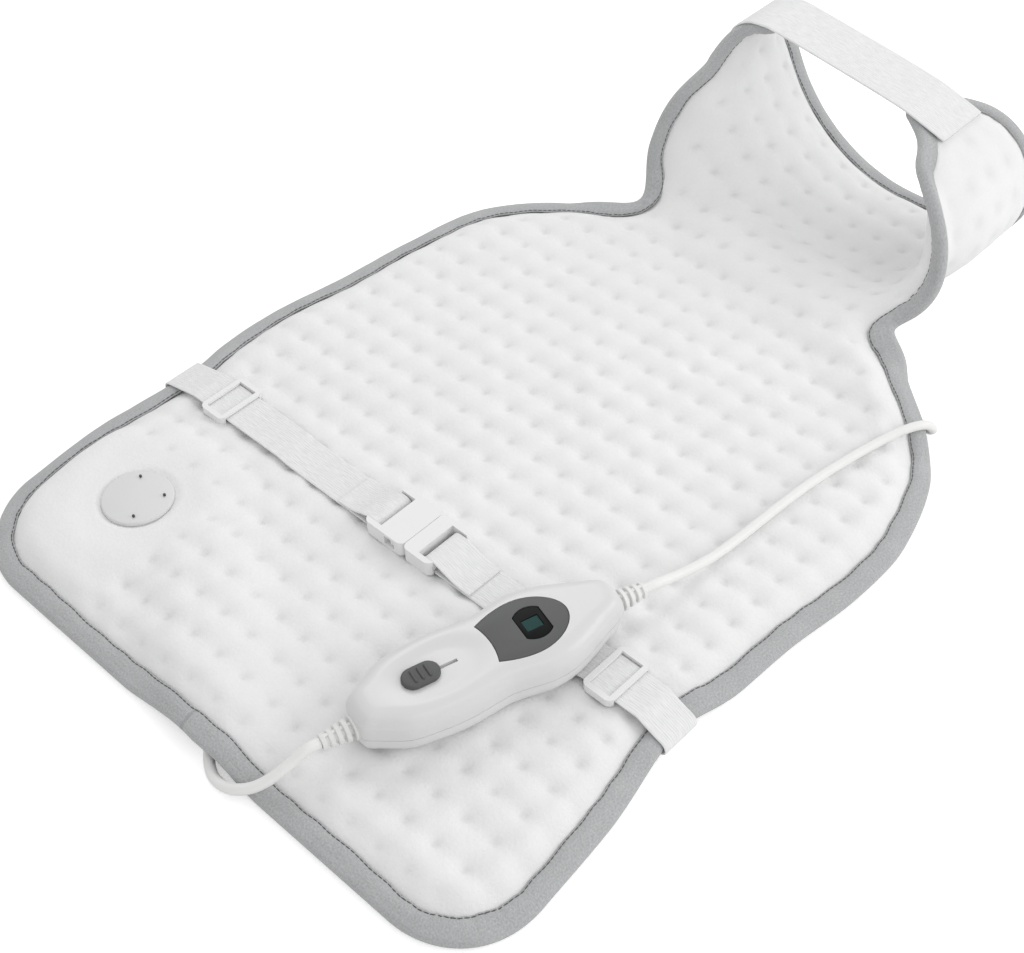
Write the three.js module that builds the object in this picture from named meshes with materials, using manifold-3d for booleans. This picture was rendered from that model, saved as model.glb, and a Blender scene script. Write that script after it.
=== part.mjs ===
// Heating pad with a collar, a waist strap and a corded slide controller.
// Millimetres, +Z up. The pad lies on z = 0, +Y points from its lower edge to its neckline,
// and x = 0 is the centreline of its pattern, beside which it lies in a slight curve.

import * as THREE from 'three';
import { mergeVertices } from 'three/addons/utils/BufferGeometryUtils.js';
import Module from 'manifold-3d';

const wasm = await Module();
wasm.setup();

// Clearance between pieces that touch on the real object.
const fitGap = 0.3;

// Pad outline, in its flat pattern.
const padLength = 626;
const padHalfWidth = 205;
const cornerRadius = 55;
const waistDip = 8;
const waistFromBottom = 172;
const notchDepth = 101;
const notchFromNeck = 142.5;
const wingTipDip = 13;
const wingTipRadius = 17;
const neckCornerRadius = 70;
const neckCornerFrom = THREE.MathUtils.degToRad(25);

// How far the pad lies aside from x = 0, from its lower edge up, one value for each step of its length.
const lieFrom = -310;
const lieStep = 50;
const lieAside = [8, 2, -3, -6, -6.5, -5.3, 1.4, 2.8, -1.5, -8, -1, 0];

// Pad layers, as heights above the floor where the pad lies flat.
const coverThickness = 0.8;
const carrierThickness = 0.6;
const wireDiameter = 1.6;
const quiltUnderside = 4;
const quiltCrest = 14;
const tuftDepth = 5.5;
const tuftPitch = 20;
const puffWidth = 20;
const tuftMargin = 14;

// Tape folded round the edge of the pad.
const tapeThickness = 1;
const tapeUpperLeg = 13.2;
const tapeLowerLeg = 10;
const tapeFold = 7.4;
const foldRound = 3;

// Collar: each wing curls up round the neck, and its end bends over further toward the other wing.
const curlStart = 145;
const curlEnd = 230;
const leftWing = { radius: 100, flat: 6, arc: 150, endRadius: 16, endAngle: THREE.MathUtils.degToRad(90) };
const rightWing = { radius: 45, flat: 33, arc: 126, endRadius: 45, endAngle: THREE.MathUtils.degToRad(2) };
const collarSway = 29;
const swayStart = 137;
const swayEnd = 257;
const collarLean = -0.107;

// Junction of pad and cord at the lower left, clear of the waist strap.
const strapY = -142.5;
const junctionFromSide = 71;
const junctionBelowStrap = 87.5;
const junction = { x: junctionFromSide - padHalfWidth, y: strapY - junctionBelowStrap };
const junctionPlateDiameter = 42;
const junctionPlateThickness = 2.2;
const plateSeat = 7;
const rivetHeadDiameter = 2.8;
const rivetShankDiameter = 1.6;
const rivetHeadHeight = 1.1;
const rivetSpread = 11;
const socketLength = 40;
const socketWidth = 30;
const socketHeight = 7.2;
const contactDiameter = 2;
const connectorLength = 24;
const connectorWidth = 16;
const connectorHeight = 5.2;

// Waist strap with its two tri-glides and its buckle.
const strapWidth = 25;
const strapThickness = 1.3;
const tailArchFoot = 24;
const glideLength = 20;
const glideBar = 3;
const glideThickness = 1.6;
const glideRail = 3.4;
const leftGlideX = -155;
const leftGlideTravel = { outward: 10, inward: 45 };
const rightGlideX = 150;
const rightGlideTravel = { outward: 13, inward: 0 };
const strapLevelSlack = 1.5;
const buckleWidth = 33;
const buckleHeight = 10;
const buckleJointX = 9;
const femaleLength = 30;
const maleLength = 21;
const buckleWall = 2;
const buckleBar = 5;
const buckleSlot = 6;
const prongThickness = 2.6;
const prongLength = 15.8;
const prongHeadAt = 9.6;
const prongWindow = 7.8;

// Elastic band across the ends of the collar.
const neckBandWidth = 42;
const neckBandThickness = 1.6;
const neckBandFromNeck = 43;
const neckBandOverlap = 34;

// Controller, with its length along its own +Y.
const controllerPlace = { x: 80.2, y: -258.6, z: 16.4 };
const controllerTurn = THREE.MathUtils.degToRad(-16.5);
const controllerLength = 151;
const controllerHeight = 27;
const controllerWidest = 27;
const seamHeight = 11;
const shellWall = 2;
const shellRoof = 3.4;
const fieldDepth = 1.4;
const fieldStart = 20;
const fieldEnd = 74;
const fieldHalfWidth = 16;
const knobLength = 21;
const knobWidth = 13;
const knobHeight = 3.4;
const knobStart = 27.3;
const knobTravel = 14;
const stemLength = 12;
const stemWidth = 3;
const panelThickness = 2;
const panelStart = 77;
const panelEnd = 122;
const panelHalfWidth = 18.2;
const windowCentre = 102;
const windowDiameter = 21.5;
const windowFlat = 15.3;
const lcdLength = 13;
const lcdWidth = 16;
const boardThickness = 1.6;
const boardHeight = 8;
const screwShankDiameter = 2.4;
const screwHeadDiameter = 4.6;
const postDiameter = 6;
const reliefLength = 19;
const reliefNeckDiameter = 8.4;
const reliefFlangeDiameter = 14;
const reliefTipDiameter = 8.4;
const reliefRibs = 4;

// Cords, coil and plug.
const padCordDiameter = 6;
const mainsCordDiameter = 5.6;
const coilCentre = { x: -118, y: 292 };
const coilOuterRadius = 40;
const coilTurnsPerLayer = 4;
const coilPitch = 6.1;
const tieThickness = 0.8;
const tieWidth = 9;
const plugLength = 34;
const plugWidth = 26;
const plugThickness = 13.5;
const plugPinDiameter = 4;
const plugPinLength = 19;
const plugPinPitch = 18.6;

const object = new THREE.Group();

// General helpers

function smooth(value) {
  return THREE.MathUtils.smoothstep(value, 0, 1);
}

function paint(colour, roughness, metalness = 0) {
  return new THREE.MeshStandardMaterial({ color: colour, roughness, metalness });
}

function addPiece(parent, name, geometry, material) {
  const mesh = new THREE.Mesh(geometry, material);
  mesh.name = name;
  parent.add(mesh);
  return mesh;
}

// Joins loose triangles, given as rows of three points, into one closed surface.
function fromTriangles(triangles) {
  const geometry = new THREE.BufferGeometry();
  geometry.setFromPoints(triangles.flat());
  return mergeVertices(geometry, 1e-4);
}

function toSolid(geometry) {
  const bare = geometry.index ? geometry.toNonIndexed() : geometry.clone();
  bare.deleteAttribute('normal');
  bare.deleteAttribute('uv');
  const merged = mergeVertices(bare, 1e-4);
  const vertProperties = new Float32Array(merged.attributes.position.array);
  const triVerts = new Uint32Array(merged.index.array);
  return new wasm.Manifold(new wasm.Mesh({ numProp: 3, vertProperties, triVerts }));
}

function fromSolid(solid) {
  const mesh = solid.getMesh();
  const geometry = new THREE.BufferGeometry();
  geometry.setAttribute('position', new THREE.BufferAttribute(new Float32Array(mesh.vertProperties), 3));
  geometry.setIndex(new THREE.BufferAttribute(new Uint32Array(mesh.triVerts), 1));
  return geometry;
}

function cut(geometry, ...cutters) {
  return fromSolid(cutters.reduce((solid, cutter) => solid.subtract(toSolid(cutter)), toSolid(geometry)));
}

function join(geometry, ...others) {
  return fromSolid(others.reduce((solid, other) => solid.add(toSolid(other)), toSolid(geometry)));
}

function box(x0, x1, y0, y1, z0, z1) {
  const geometry = new THREE.BoxGeometry(x1 - x0, y1 - y0, z1 - z0);
  geometry.translate((x0 + x1) / 2, (y0 + y1) / 2, (z0 + z1) / 2);
  return geometry;
}

// Upright cylinder standing on z = z0.
function post(x, y, diameter, z0, z1, sides = 20) {
  const geometry = new THREE.CylinderGeometry(diameter / 2, diameter / 2, z1 - z0, sides);
  geometry.rotateX(Math.PI / 2);
  geometry.translate(x, y, (z0 + z1) / 2);
  return geometry;
}

function roundedRectangle(width, height, radius, centreX = 0, centreY = 0) {
  const shape = new THREE.Shape();
  const x = width / 2 - radius;
  const y = height / 2 - radius;
  shape.absarc(centreX + x, centreY - y, radius, -Math.PI / 2, 0);
  shape.absarc(centreX + x, centreY + y, radius, 0, Math.PI / 2);
  shape.absarc(centreX - x, centreY + y, radius, Math.PI / 2, Math.PI);
  shape.absarc(centreX - x, centreY - y, radius, Math.PI, 1.5 * Math.PI);
  shape.closePath();
  return shape;
}

// Plate of an outline in plan, from z0 up to z1.
function plate(shape, z0, z1, curveSegments = 5) {
  const geometry = new THREE.ExtrudeGeometry(shape, { depth: z1 - z0, bevelEnabled: false, curveSegments });
  geometry.translate(0, 0, z0);
  return geometry;
}

// Strip of webbing: a path in x and z, given a thickness, then drawn out along y.
function strip(path, thickness, width, centreY) {
  const outer = [];
  const inner = [];
  path.forEach((point, index) => {
    const before = path[Math.max(index - 1, 0)];
    const after = path[Math.min(index + 1, path.length - 1)];
    const into = point.clone().sub(before).normalize();
    const out = after.clone().sub(point).normalize();
    const along = into.add(out).normalize();
    const corner = index === 0 || index === path.length - 1 ? 1 : Math.abs(along.dot(out.normalize()));
    const reach = thickness / 2 / Math.max(corner, 0.5);
    outer.push(new THREE.Vector2(point.x - along.y * reach, point.y + along.x * reach));
    inner.push(new THREE.Vector2(point.x + along.y * reach, point.y - along.x * reach));
  });
  const shape = new THREE.Shape([...outer, ...inner.reverse()]);
  const geometry = new THREE.ExtrudeGeometry(shape, { depth: width, bevelEnabled: false });
  geometry.rotateX(Math.PI / 2);
  geometry.translate(0, centreY + width / 2, 0);
  return geometry;
}

// Round tube along a curve, with flat ends square to it.
function tube(curve, diameter, sides, steps) {
  const section = new THREE.Shape();
  for (let side = 0; side < sides; side += 1) {
    const angle = (side / sides) * 2 * Math.PI;
    const x = (diameter / 2) * Math.cos(angle);
    const y = (diameter / 2) * Math.sin(angle);
    if (side === 0) section.moveTo(x, y);
    else section.lineTo(x, y);
  }
  section.closePath();
  return new THREE.ExtrudeGeometry(section, { steps, bevelEnabled: false, extrudePath: curve });
}

// Routes of the free cords, point by point: first the stretch that shows, then the stretch under the pad.
const padCordOver = [
  [70.6, -291, 23.5], [67.4, -301, 18.2], [62.2, -310, 13.4], [54.5, -316, 9.6], [46, -318, 6],
  [37, -317.4, 3.8], [29, -313.8, 3.3],
];
const padCordUnder = [
  [20, -306.5, 3.3], [4, -293, 3.3], [-22, -271, 3.3], [-50, -249, 3.3], [-74, -234, 3.6],
];
const mainsCordOver = [
  [133, -74, 23.5], [136.5, -50, 19.5], [138, -25, 17.7], [139.5, 5, 17.4], [142, 35, 17.4],
  [146.5, 63, 17.4], [151, 84, 17.6], [155, 98, 18], [159.4, 109, 18.2], [163.4, 118, 16],
  [165, 123.4, 9.8], [161.2, 126.6, 4.4],
];
const mainsCordUnder = [
  [152, 129.5, 3.1], [124, 140, 3.1], [100, 152, 3.1], [70, 161, 3.1], [40, 169, 3.1], [5, 176, 3.1],
  [-30, 184, 3.1],
];
const mainsCordBehind = [[-58, 200, 3.2], [-74, 224, 3.6], [-80, 252, 4]];

// The pad's shape: an arch over whatever lies under it, and the curl of the collar.

const archHeight = 8;
const archFlat = 8;
const archFoot = 44;
const junctionFlat = 36;
const tailArch = 2.4;

function distanceToRoute(x, v, route) {
  let nearest = Infinity;
  for (let index = 0; index + 1 < route.length; index += 1) {
    const [ax, ay] = route[index];
    const [bx, by] = route[index + 1];
    const share = ((x - ax) * (bx - ax) + (v - ay) * (by - ay)) / ((bx - ax) ** 2 + (by - ay) ** 2);
    const t = THREE.MathUtils.clamp(share, 0, 1);
    nearest = Math.min(nearest, Math.hypot(x - ax - t * (bx - ax), v - ay - t * (by - ay)));
  }
  return nearest;
}

function archOver(distance, flat) {
  const t = THREE.MathUtils.clamp((distance - flat) / (archFoot - archFlat), 0, 1);
  return 0.5 * archHeight * (1 + Math.cos(Math.PI * t));
}

// Catmull-Rom curve through the values of lieAside.
function asideAt(v) {
  const last = lieAside.length - 1;
  const place = THREE.MathUtils.clamp((v - lieFrom) / lieStep, 0, last);
  const index = Math.min(Math.floor(place), last - 1);
  const value = (at) => lieAside[THREE.MathUtils.clamp(at, 0, last)];
  const [start, end] = [value(index), value(index + 1)];
  const out = (end - value(index - 1)) / 2;
  const back = (value(index + 2) - start) / 2;
  const t = place - index;
  const cubic = 2 * start - 2 * end + out + back;
  const square = 3 * end - 3 * start - 2 * out - back;
  return ((cubic * t + square) * t + out) * t + start;
}

function riseAt(x, v) {
  const u = x - asideAt(v);
  const overPadCord = archOver(distanceToRoute(x, v, padCordUnder), archFlat);
  const overMains = archOver(distanceToRoute(x, v, mainsCordUnder), archFlat);
  const overSocket = archOver(Math.hypot(x - junction.x, v - junction.y), junctionFlat);
  const tailShare = smooth((Math.abs(u) - padHalfWidth + 2 * tailArchFoot) / tailArchFoot);
  const overTail = tailArch * tailShare * Math.max(0, 1 - Math.abs(v - strapY) / (2 * tuftPitch));
  return Math.max(overPadCord, overMains, overSocket, overTail);
}

const middleHeight = 7.5;

function middleSurface(u, v) {
  const curled = smooth((v - curlStart) / (curlEnd - curlStart));
  const wing = u < 0 ? leftWing : rightWing;
  const bend = Math.max(curled / wing.radius, 1e-6);
  const endBend = Math.max(curled / wing.endRadius, 1e-6);
  const reach = Math.max(Math.abs(u) - wing.flat, 0);
  const arc = Math.min(reach, wing.arc);
  const endArc = Math.min(reach - arc, wing.endAngle * wing.endRadius);
  const straight = reach - arc - endArc;
  const angle = arc * bend;
  const endAngle = angle + endArc * endBend;
  const flat = Math.min(Math.abs(u), wing.flat);
  const across = flat + Math.sin(angle) / bend + (Math.sin(endAngle) - Math.sin(angle)) / endBend
    + straight * Math.cos(endAngle);
  const up = (1 - Math.cos(angle)) / bend + (Math.cos(angle) - Math.cos(endAngle)) / endBend
    + straight * Math.sin(endAngle);
  const sway = collarSway * smooth((v - swayStart) / (swayEnd - swayStart)) + asideAt(v);
  const x = Math.sign(u) * across + sway + collarLean * up;
  return new THREE.Vector3(x, v, middleHeight + up + riseAt(u + asideAt(v), v));
}

// Point of the pad at (u, v) of its flat pattern, at height w above its underside.
function onPad(u, v, w) {
  const step = 0.5;
  const across = middleSurface(u + step, v).sub(middleSurface(u - step, v));
  const along = middleSurface(u, v + step).sub(middleSurface(u, v - step));
  const normal = across.cross(along).normalize();
  return middleSurface(u, v).addScaledVector(normal, w - middleHeight);
}

// Flat pattern: the right half of the outline, from mid lower edge to mid neckline.

const padBottom = -padLength / 2;
const neckline = padLength / 2;
const tipCentre = {
  u: padHalfWidth - wingTipDip - wingTipRadius,
  v: neckline - neckCornerRadius + (neckCornerRadius - wingTipRadius) * Math.sin(neckCornerFrom),
};
const neckCorner = {
  u: tipCentre.u - (neckCornerRadius - wingTipRadius) * Math.cos(neckCornerFrom),
  v: neckline - neckCornerRadius,
};

function rightOutline() {
  const waistV = padBottom + waistFromBottom;
  const notchV = neckline - notchFromNeck;
  const notchU = padHalfWidth - notchDepth;
  const tipTurn = THREE.MathUtils.degToRad(-45);
  const tipStart = [
    tipCentre.u + wingTipRadius * Math.cos(tipTurn), tipCentre.v + wingTipRadius * Math.sin(tipTurn),
  ];
  const side = [
    [padHalfWidth, padBottom + 2 * cornerRadius], [padHalfWidth - waistDip, waistV],
    [padHalfWidth - 1, waistV + 48], [padHalfWidth - 2, notchV - 163], [padHalfWidth - 6, notchV - 123],
    [padHalfWidth - 18, notchV - 78], [padHalfWidth - 40, notchV - 48], [notchU + 27, notchV - 18],
    [notchU, notchV], [notchU + 24, notchV + 20], [notchU + 41, notchV + 37], [notchU + 54, notchV + 59],
    [notchU + 67, notchV + 73.5], tipStart,
  ];
  const path = new THREE.Path();
  path.moveTo(0, padBottom);
  path.lineTo(padHalfWidth - cornerRadius, padBottom);
  path.absarc(padHalfWidth - cornerRadius, padBottom + cornerRadius, cornerRadius, -Math.PI / 2, 0);
  path.splineThru(side.map(([u, v]) => new THREE.Vector2(u, v)));
  path.absarc(tipCentre.u, tipCentre.v, wingTipRadius, tipTurn, neckCornerFrom);
  path.absarc(neckCorner.u, neckCorner.v, neckCornerRadius, neckCornerFrom, Math.PI / 2);
  path.lineTo(0, neckline);
  return path.getSpacedPoints(800);
}

// Inner line of the pattern, at the end of the tape's lower leg: every layer shares its points.
const innerInset = tapeLowerLeg + 6 * fitGap;
const lowestRow = padBottom + innerInset;
const highestRow = neckline - innerInset;

const innerLine = rightOutline().map((point, index, points) => {
  const before = points[Math.max(index - 1, 0)];
  const after = points[Math.min(index + 1, points.length - 1)];
  const along = after.clone().sub(before).normalize();
  const outward = new THREE.Vector2(along.y, -along.x);
  return { u: point.x - innerInset * outward.x, v: point.y - innerInset * outward.y, outward };
});

function innerEdgeAt(v) {
  const margin = 1e-3;
  if (v <= lowestRow + margin) {
    return { u: padHalfWidth - cornerRadius, v: lowestRow, outward: new THREE.Vector2(0, -1) };
  }
  if (v >= highestRow - margin) {
    return { u: neckCorner.u, v: highestRow, outward: new THREE.Vector2(0, 1) };
  }
  const isPassed = (point, place) => place > 0 && point.v >= v && innerLine[place - 1].v < v;
  const index = innerLine.findIndex(isPassed);
  const low = innerLine[index - 1];
  const high = innerLine[index];
  const t = (v - low.v) / (high.v - low.v);
  return {
    u: low.u + t * (high.u - low.u),
    v,
    outward: low.outward.clone().lerp(high.outward, t).normalize(),
  };
}

// Rows of the pattern. Edge rows reach from edge to edge; the rows between them hold only tufts and crests.

function latticeRows(offset) {
  const rows = [];
  const first = Math.ceil((lowestRow + tuftMargin - offset) / tuftPitch);
  for (let v = offset + first * tuftPitch; v < highestRow - tuftMargin; v += tuftPitch) rows.push(v);
  return rows;
}

const tuftOffset = 7;
const crestRows = latticeRows(tuftOffset - tuftPitch / 2);
const tuftRows = latticeRows(tuftOffset);
const plainFrom = -170;
const plainTo = 60;
const wingEndRows = [tipCentre.v - 14, tipCentre.v + 26];
const isEdgeRow = (v) => v < plainFrom || v > plainTo || Math.round((v - crestRows[0]) / tuftPitch) % 2 === 1;
const edgeRows = [
  lowestRow, lowestRow + 5,
  ...crestRows.filter(isEdgeRow),
  highestRow - 1.2, highestRow,
  curlEnd - 8, ...wingEndRows,
].sort((a, b) => a - b);

// Where the underside needs points of its own: over the arches, beside the strap's tails and in the curl
// of the collar.
const leastArch = 2.1;

function isUneven(u, v) {
  const inWing = v > curlStart - tuftPitch;
  if (inWing && (u > 0 || u < tuftPitch - leftWing.arc || Math.round(u / tuftPitch) % 2 === 0)) return true;
  const outermost = Math.abs(u) > innerEdgeAt(v).u - tuftMargin - tuftPitch;
  if (outermost && Math.abs(v - strapY) < tuftPitch / 2) return true;
  const near = [[0, 0], [tuftPitch, 0], [-tuftPitch, 0], [0, tuftPitch], [0, -tuftPitch]];
  return near.some(([du, dv]) => riseAt(u + asideAt(v) + du, v + dv) > leastArch);
}

function pointsAcross(v, offset, keep) {
  const limit = innerEdgeAt(v).u - tuftMargin;
  const points = [];
  const first = Math.ceil((-limit - offset) / tuftPitch);
  for (let u = offset + first * tuftPitch; u <= limit; u += tuftPitch) {
    if (keep(u, v)) points.push({ u, v });
  }
  return points;
}

function edgeRow(v, inside) {
  const edge = innerEdgeAt(v);
  return [{ u: -edge.u, v }, ...inside, { u: edge.u, v }];
}

// Triangles between two rows, facing up.
function zip(lower, upper) {
  const triangles = [];
  let i = 0;
  let j = 0;
  while (i < lower.length - 1 || j < upper.length - 1) {
    const stepLower = i < lower.length - 1
      ? Math.hypot(lower[i + 1].u - upper[j].u, lower[i + 1].v - upper[j].v) : Infinity;
    const stepUpper = j < upper.length - 1
      ? Math.hypot(upper[j + 1].u - lower[i].u, upper[j + 1].v - lower[i].v) : Infinity;
    if (stepLower <= stepUpper) {
      triangles.push([lower[i], lower[i + 1], upper[j]]);
      i += 1;
    } else {
      triangles.push([lower[i], upper[j + 1], upper[j]]);
      j += 1;
    }
  }
  return triangles;
}

// Triangles that fill the side between two edge rows and the ends of the tuft rows between them.
function fillSide(points) {
  const contour = points.map((point) => new THREE.Vector2(point.u, point.v));
  return THREE.ShapeUtils.triangulateShape(contour, []).map(([a, b, c]) => {
    const area = (contour[b].x - contour[a].x) * (contour[c].y - contour[a].y)
      - (contour[b].y - contour[a].y) * (contour[c].x - contour[a].x);
    return area > 0 ? [points[a], points[b], points[c]] : [points[a], points[c], points[b]];
  });
}

// Columns of the underside: at the crests, and between them where the end of the left wing bends over.
function undersideRow(v) {
  const bendsOver = (u) => v > curlEnd && u < -leftWing.arc;
  const columns = [...pointsAcross(v, 0, isUneven), ...pointsAcross(v, tuftPitch / 2, bendsOver)];
  return edgeRow(v, columns.sort((a, b) => a.u - b.u));
}

function coarsePattern() {
  const rows = edgeRows.map(undersideRow);
  return rows.slice(1).flatMap((row, index) => zip(rows[index], row));
}

function tuftedPattern() {
  const isEnd = (v) => v === lowestRow || v === highestRow;
  const triangles = [];
  for (let index = 0; index + 1 < edgeRows.length; index += 1) {
    const [from, to] = [edgeRows[index], edgeRows[index + 1]];
    const wholeRow = (v) => edgeRow(v, pointsAcross(v, 0, isEnd(v) ? isUneven : () => true));
    const between = [
      ...tuftRows.map((v) => ({ v, offset: tuftPitch / 2 })),
      ...crestRows.map((v) => ({ v, offset: 0 })),
    ].filter((row) => row.v > from + 0.01 && row.v < to - 0.01).sort((a, b) => a.v - b.v);
    const inner = between.map((row) => pointsAcross(row.v, row.offset, () => true));
    const rows = [wholeRow(from), ...inner, wholeRow(to)];
    rows.slice(1).forEach((row, place) => triangles.push(...zip(rows[place], row)));
    if (inner.length > 0) {
      const [low, high] = [rows[0], rows[rows.length - 1]];
      const leftEnds = inner.map((row) => row[0]);
      const rightEnds = inner.map((row) => row[row.length - 1]).reverse();
      triangles.push(...fillSide([low[low.length - 1], high[high.length - 1], ...rightEnds]));
      triangles.push(...fillSide([low[0], ...leftEnds, high[0]]));
    }
  }
  return triangles;
}

// The closed ring of points on the inner line, anticlockwise from the lower left.
function innerRing() {
  const withOutward = (point) => {
    const edge = innerEdgeAt(point.v);
    const outward = edge.outward.clone();
    if (point.u < 0) outward.x *= -1;
    return { ...point, outward };
  };
  const rows = edgeRows.map((v) => edgeRow(v, pointsAcross(v, 0, isUneven)));
  const lowest = rows[0];
  const highest = rows[rows.length - 1];
  const sides = rows.slice(1, -1);
  return [
    ...lowest, ...sides.map((row) => row[row.length - 1]),
    ...[...highest].reverse(), ...sides.map((row) => row[0]).reverse(),
  ].map(withOutward);
}

const ring = innerRing();

// Walks a profile of [distance in from the edge, height] round the pad. Every layer splits its faces alike,
// from the inner end of one step to the outer end of the next, so that layers on a curl stay apart.
function sweepEdge(profile, closed) {
  const triangles = [];
  const at = ([inward, w], index) => {
    const point = ring[index % ring.length];
    const out = innerInset - inward;
    return onPad(point.u + out * point.outward.x, point.v + out * point.outward.y, w);
  };
  const last = closed ? profile.length : profile.length - 1;
  for (let side = 0; side < last; side += 1) {
    const from = profile[side];
    const to = profile[(side + 1) % profile.length];
    for (let index = 0; index < ring.length; index += 1) {
      const [a, b, c, d] = [at(from, index), at(to, index), at(to, index + 1), at(from, index + 1)];
      if (from[0] >= to[0]) triangles.push([a, b, c], [a, c, d]);
      else triangles.push([a, b, d], [b, c, d]);
    }
  }
  return triangles;
}

function faceUp(pattern, height) {
  return pattern.map((corners) => corners.map((point) => onPad(point.u, point.v, height(point))));
}

function faceDown(pattern, height) {
  return faceUp(pattern, height).map(([a, b, c]) => [a, c, b]);
}

// Pad pieces

// Height of the tufted top: drawn in at the tape, at each tuft and under the junction plate.
function quiltTop({ u, v }) {
  const edge = innerEdgeAt(v);
  const fromSide = (edge.u - Math.abs(u)) * Math.max(edge.outward.x, 0.3);
  const fromEdge = Math.max(Math.min(fromSide, v - lowestRow, highestRow - v), 0);
  const loft = quiltCrest - quiltUnderside;
  const puff = loft * Math.sin((Math.PI / 2) * Math.min(fromEdge / puffWidth, 1));
  const isTuft = tuftRows.some((row) => Math.abs(row - v) < 0.01);
  const x = u + asideAt(v);
  const plainCorner = x < junction.x + 27 && v < junction.y + 29;
  const drawn = isTuft && !plainCorner ? 1 - tuftDepth / loft : 1;
  const fromPlate = Math.hypot(x - junction.x, v - junction.y);
  const besidePlate = smooth((fromPlate - junctionPlateDiameter / 2 - 15) / (1.2 * tuftPitch));
  const seat = Math.min(plateSeat - quiltUnderside, puff);
  return quiltUnderside + THREE.MathUtils.lerp(seat, puff * drawn, besidePlate);
}

// The top tapers to a thin edge that is caught under the tape's upper leg.
function makeQuiltedTop() {
  return fromTriangles([
    ...faceUp(tuftedPattern(), quiltTop),
    ...faceDown(coarsePattern(), () => quiltUnderside),
  ]);
}

// The lining steps up over the tape's lower leg and ends inside the fold.
function makeBackCover() {
  const coarse = coarsePattern();
  const low = tapeThickness + 3 * fitGap;
  const high = low + coverThickness;
  const stepAt = tapeLowerLeg + 3 * fitGap;
  const hem = foldRound;
  const profile = [
    [innerInset, coverThickness], [stepAt, high], [hem, high], [hem, low], [stepAt, low], [innerInset, 0],
  ];
  return fromTriangles([
    ...faceUp(coarse, () => coverThickness),
    ...sweepEdge(profile, false),
    ...faceDown(coarse, () => 0),
  ]);
}

function makeEdgeBinding() {
  const t = tapeThickness;
  const middle = tapeFold / 2;
  const top = tapeFold + 0.8;
  const profile = [
    [tapeUpperLeg, top], [foldRound, tapeFold], [0, middle], [foldRound, 0], [tapeLowerLeg, 0],
    [tapeLowerLeg, t], [foldRound, t], [t, middle], [foldRound, tapeFold - t], [tapeUpperLeg, top - t],
  ];
  return fromTriangles(sweepEdge(profile, true));
}

// The heating cord runs to and fro on its carrier, in the part of the body that lies flat.
const carrierHalfWidth = 124;
const carrierBottom = -152;
const carrierTop = 70;
const wireSpacing = 20;
const wireRuns = 10;
const wireHalfLength = 104;

function makeHeatingCarrier() {
  const height = carrierTop - carrierBottom;
  const middle = (carrierTop + carrierBottom) / 2;
  const shape = roundedRectangle(2 * carrierHalfWidth, height, 20, 0, middle);
  const z0 = coverThickness + fitGap;
  return plate(shape, z0, z0 + carrierThickness);
}

function makeHeatingWire() {
  const z = coverThickness + 2 * fitGap + carrierThickness + wireDiameter / 2;
  const lowest = (carrierTop + carrierBottom) / 2 - ((wireRuns - 1) * wireSpacing) / 2;
  const path = new THREE.CurvePath();
  const at = (x, y) => new THREE.Vector3(x, y, z);
  for (let run = 0; run < wireRuns; run += 1) {
    const y = lowest + run * wireSpacing;
    const way = run % 2 === 0 ? 1 : -1;
    path.add(new THREE.LineCurve3(at(-way * wireHalfLength, y), at(way * wireHalfLength, y)));
    if (run === wireRuns - 1) break;
    const bulge = (way * wireSpacing) / 1.5;
    path.add(new THREE.CubicBezierCurve3(
      at(way * wireHalfLength, y), at(way * wireHalfLength + bulge, y),
      at(way * wireHalfLength + bulge, y + wireSpacing), at(way * wireHalfLength, y + wireSpacing),
    ));
  }
  return tube(path, wireDiameter, 5, wireRuns * 11);
}

addPiece(object, 'quilted_top', makeQuiltedTop(), paint('#e4e6ea', 0.95));
addPiece(object, 'back_cover', makeBackCover(), paint('#d9dbe0', 0.9));
addPiece(object, 'edge_binding', makeEdgeBinding(), paint('#a3acbc', 0.85));
addPiece(object, 'heating_carrier', makeHeatingCarrier(), paint('#f1efe6', 0.9));
addPiece(object, 'heating_wire', makeHeatingWire(), paint('#e8e2d0', 0.6));

// Junction: a plate on top, riveted through the pad to a socket underneath, and the connector in the socket.

const plateBottom = archHeight + plateSeat + fitGap;
const rivetPlaces = [[-rivetSpread, rivetSpread], [rivetSpread, rivetSpread], [rivetSpread, -rivetSpread]];
const socketMiddle = fitGap + socketHeight / 2;
const socketRight = junction.x + socketLength / 2;
const noseLength = 0.42 * connectorLength;
const contactSpread = 4;
const contactLength = 6;

function makeJunctionPlate() {
  const top = plateBottom + junctionPlateThickness;
  const rim = 1;
  const radius = junctionPlateDiameter / 2;
  const profile = [
    [0, plateBottom], [radius, plateBottom], [radius, top - rim], [radius - rim, top], [0, top],
  ].map(([r, z]) => new THREE.Vector2(r, z));
  const disc = new THREE.LatheGeometry(profile, 40);
  disc.rotateX(Math.PI / 2);
  disc.translate(junction.x, junction.y, 0);
  const holes = rivetPlaces.map(([dx, dy]) => post(
    junction.x + dx, junction.y + dy, rivetShankDiameter + 2 * fitGap, plateBottom - 1, top + 1, 12,
  ));
  return cut(disc, ...holes);
}

function makeRivet([dx, dy]) {
  const top = plateBottom + junctionPlateThickness + fitGap;
  const head = rivetHeadDiameter / 2;
  const shank = rivetShankDiameter / 2;
  const profile = [
    [0, plateBottom], [shank, plateBottom], [shank, top], [head, top],
    [0.8 * head, top + 0.6 * rivetHeadHeight], [0, top + rivetHeadHeight],
  ].map(([r, z]) => new THREE.Vector2(r, z));
  const rivet = new THREE.LatheGeometry(profile, 16);
  rivet.rotateX(Math.PI / 2);
  rivet.translate(junction.x + dx, junction.y + dy, 0);
  return rivet;
}

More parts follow.
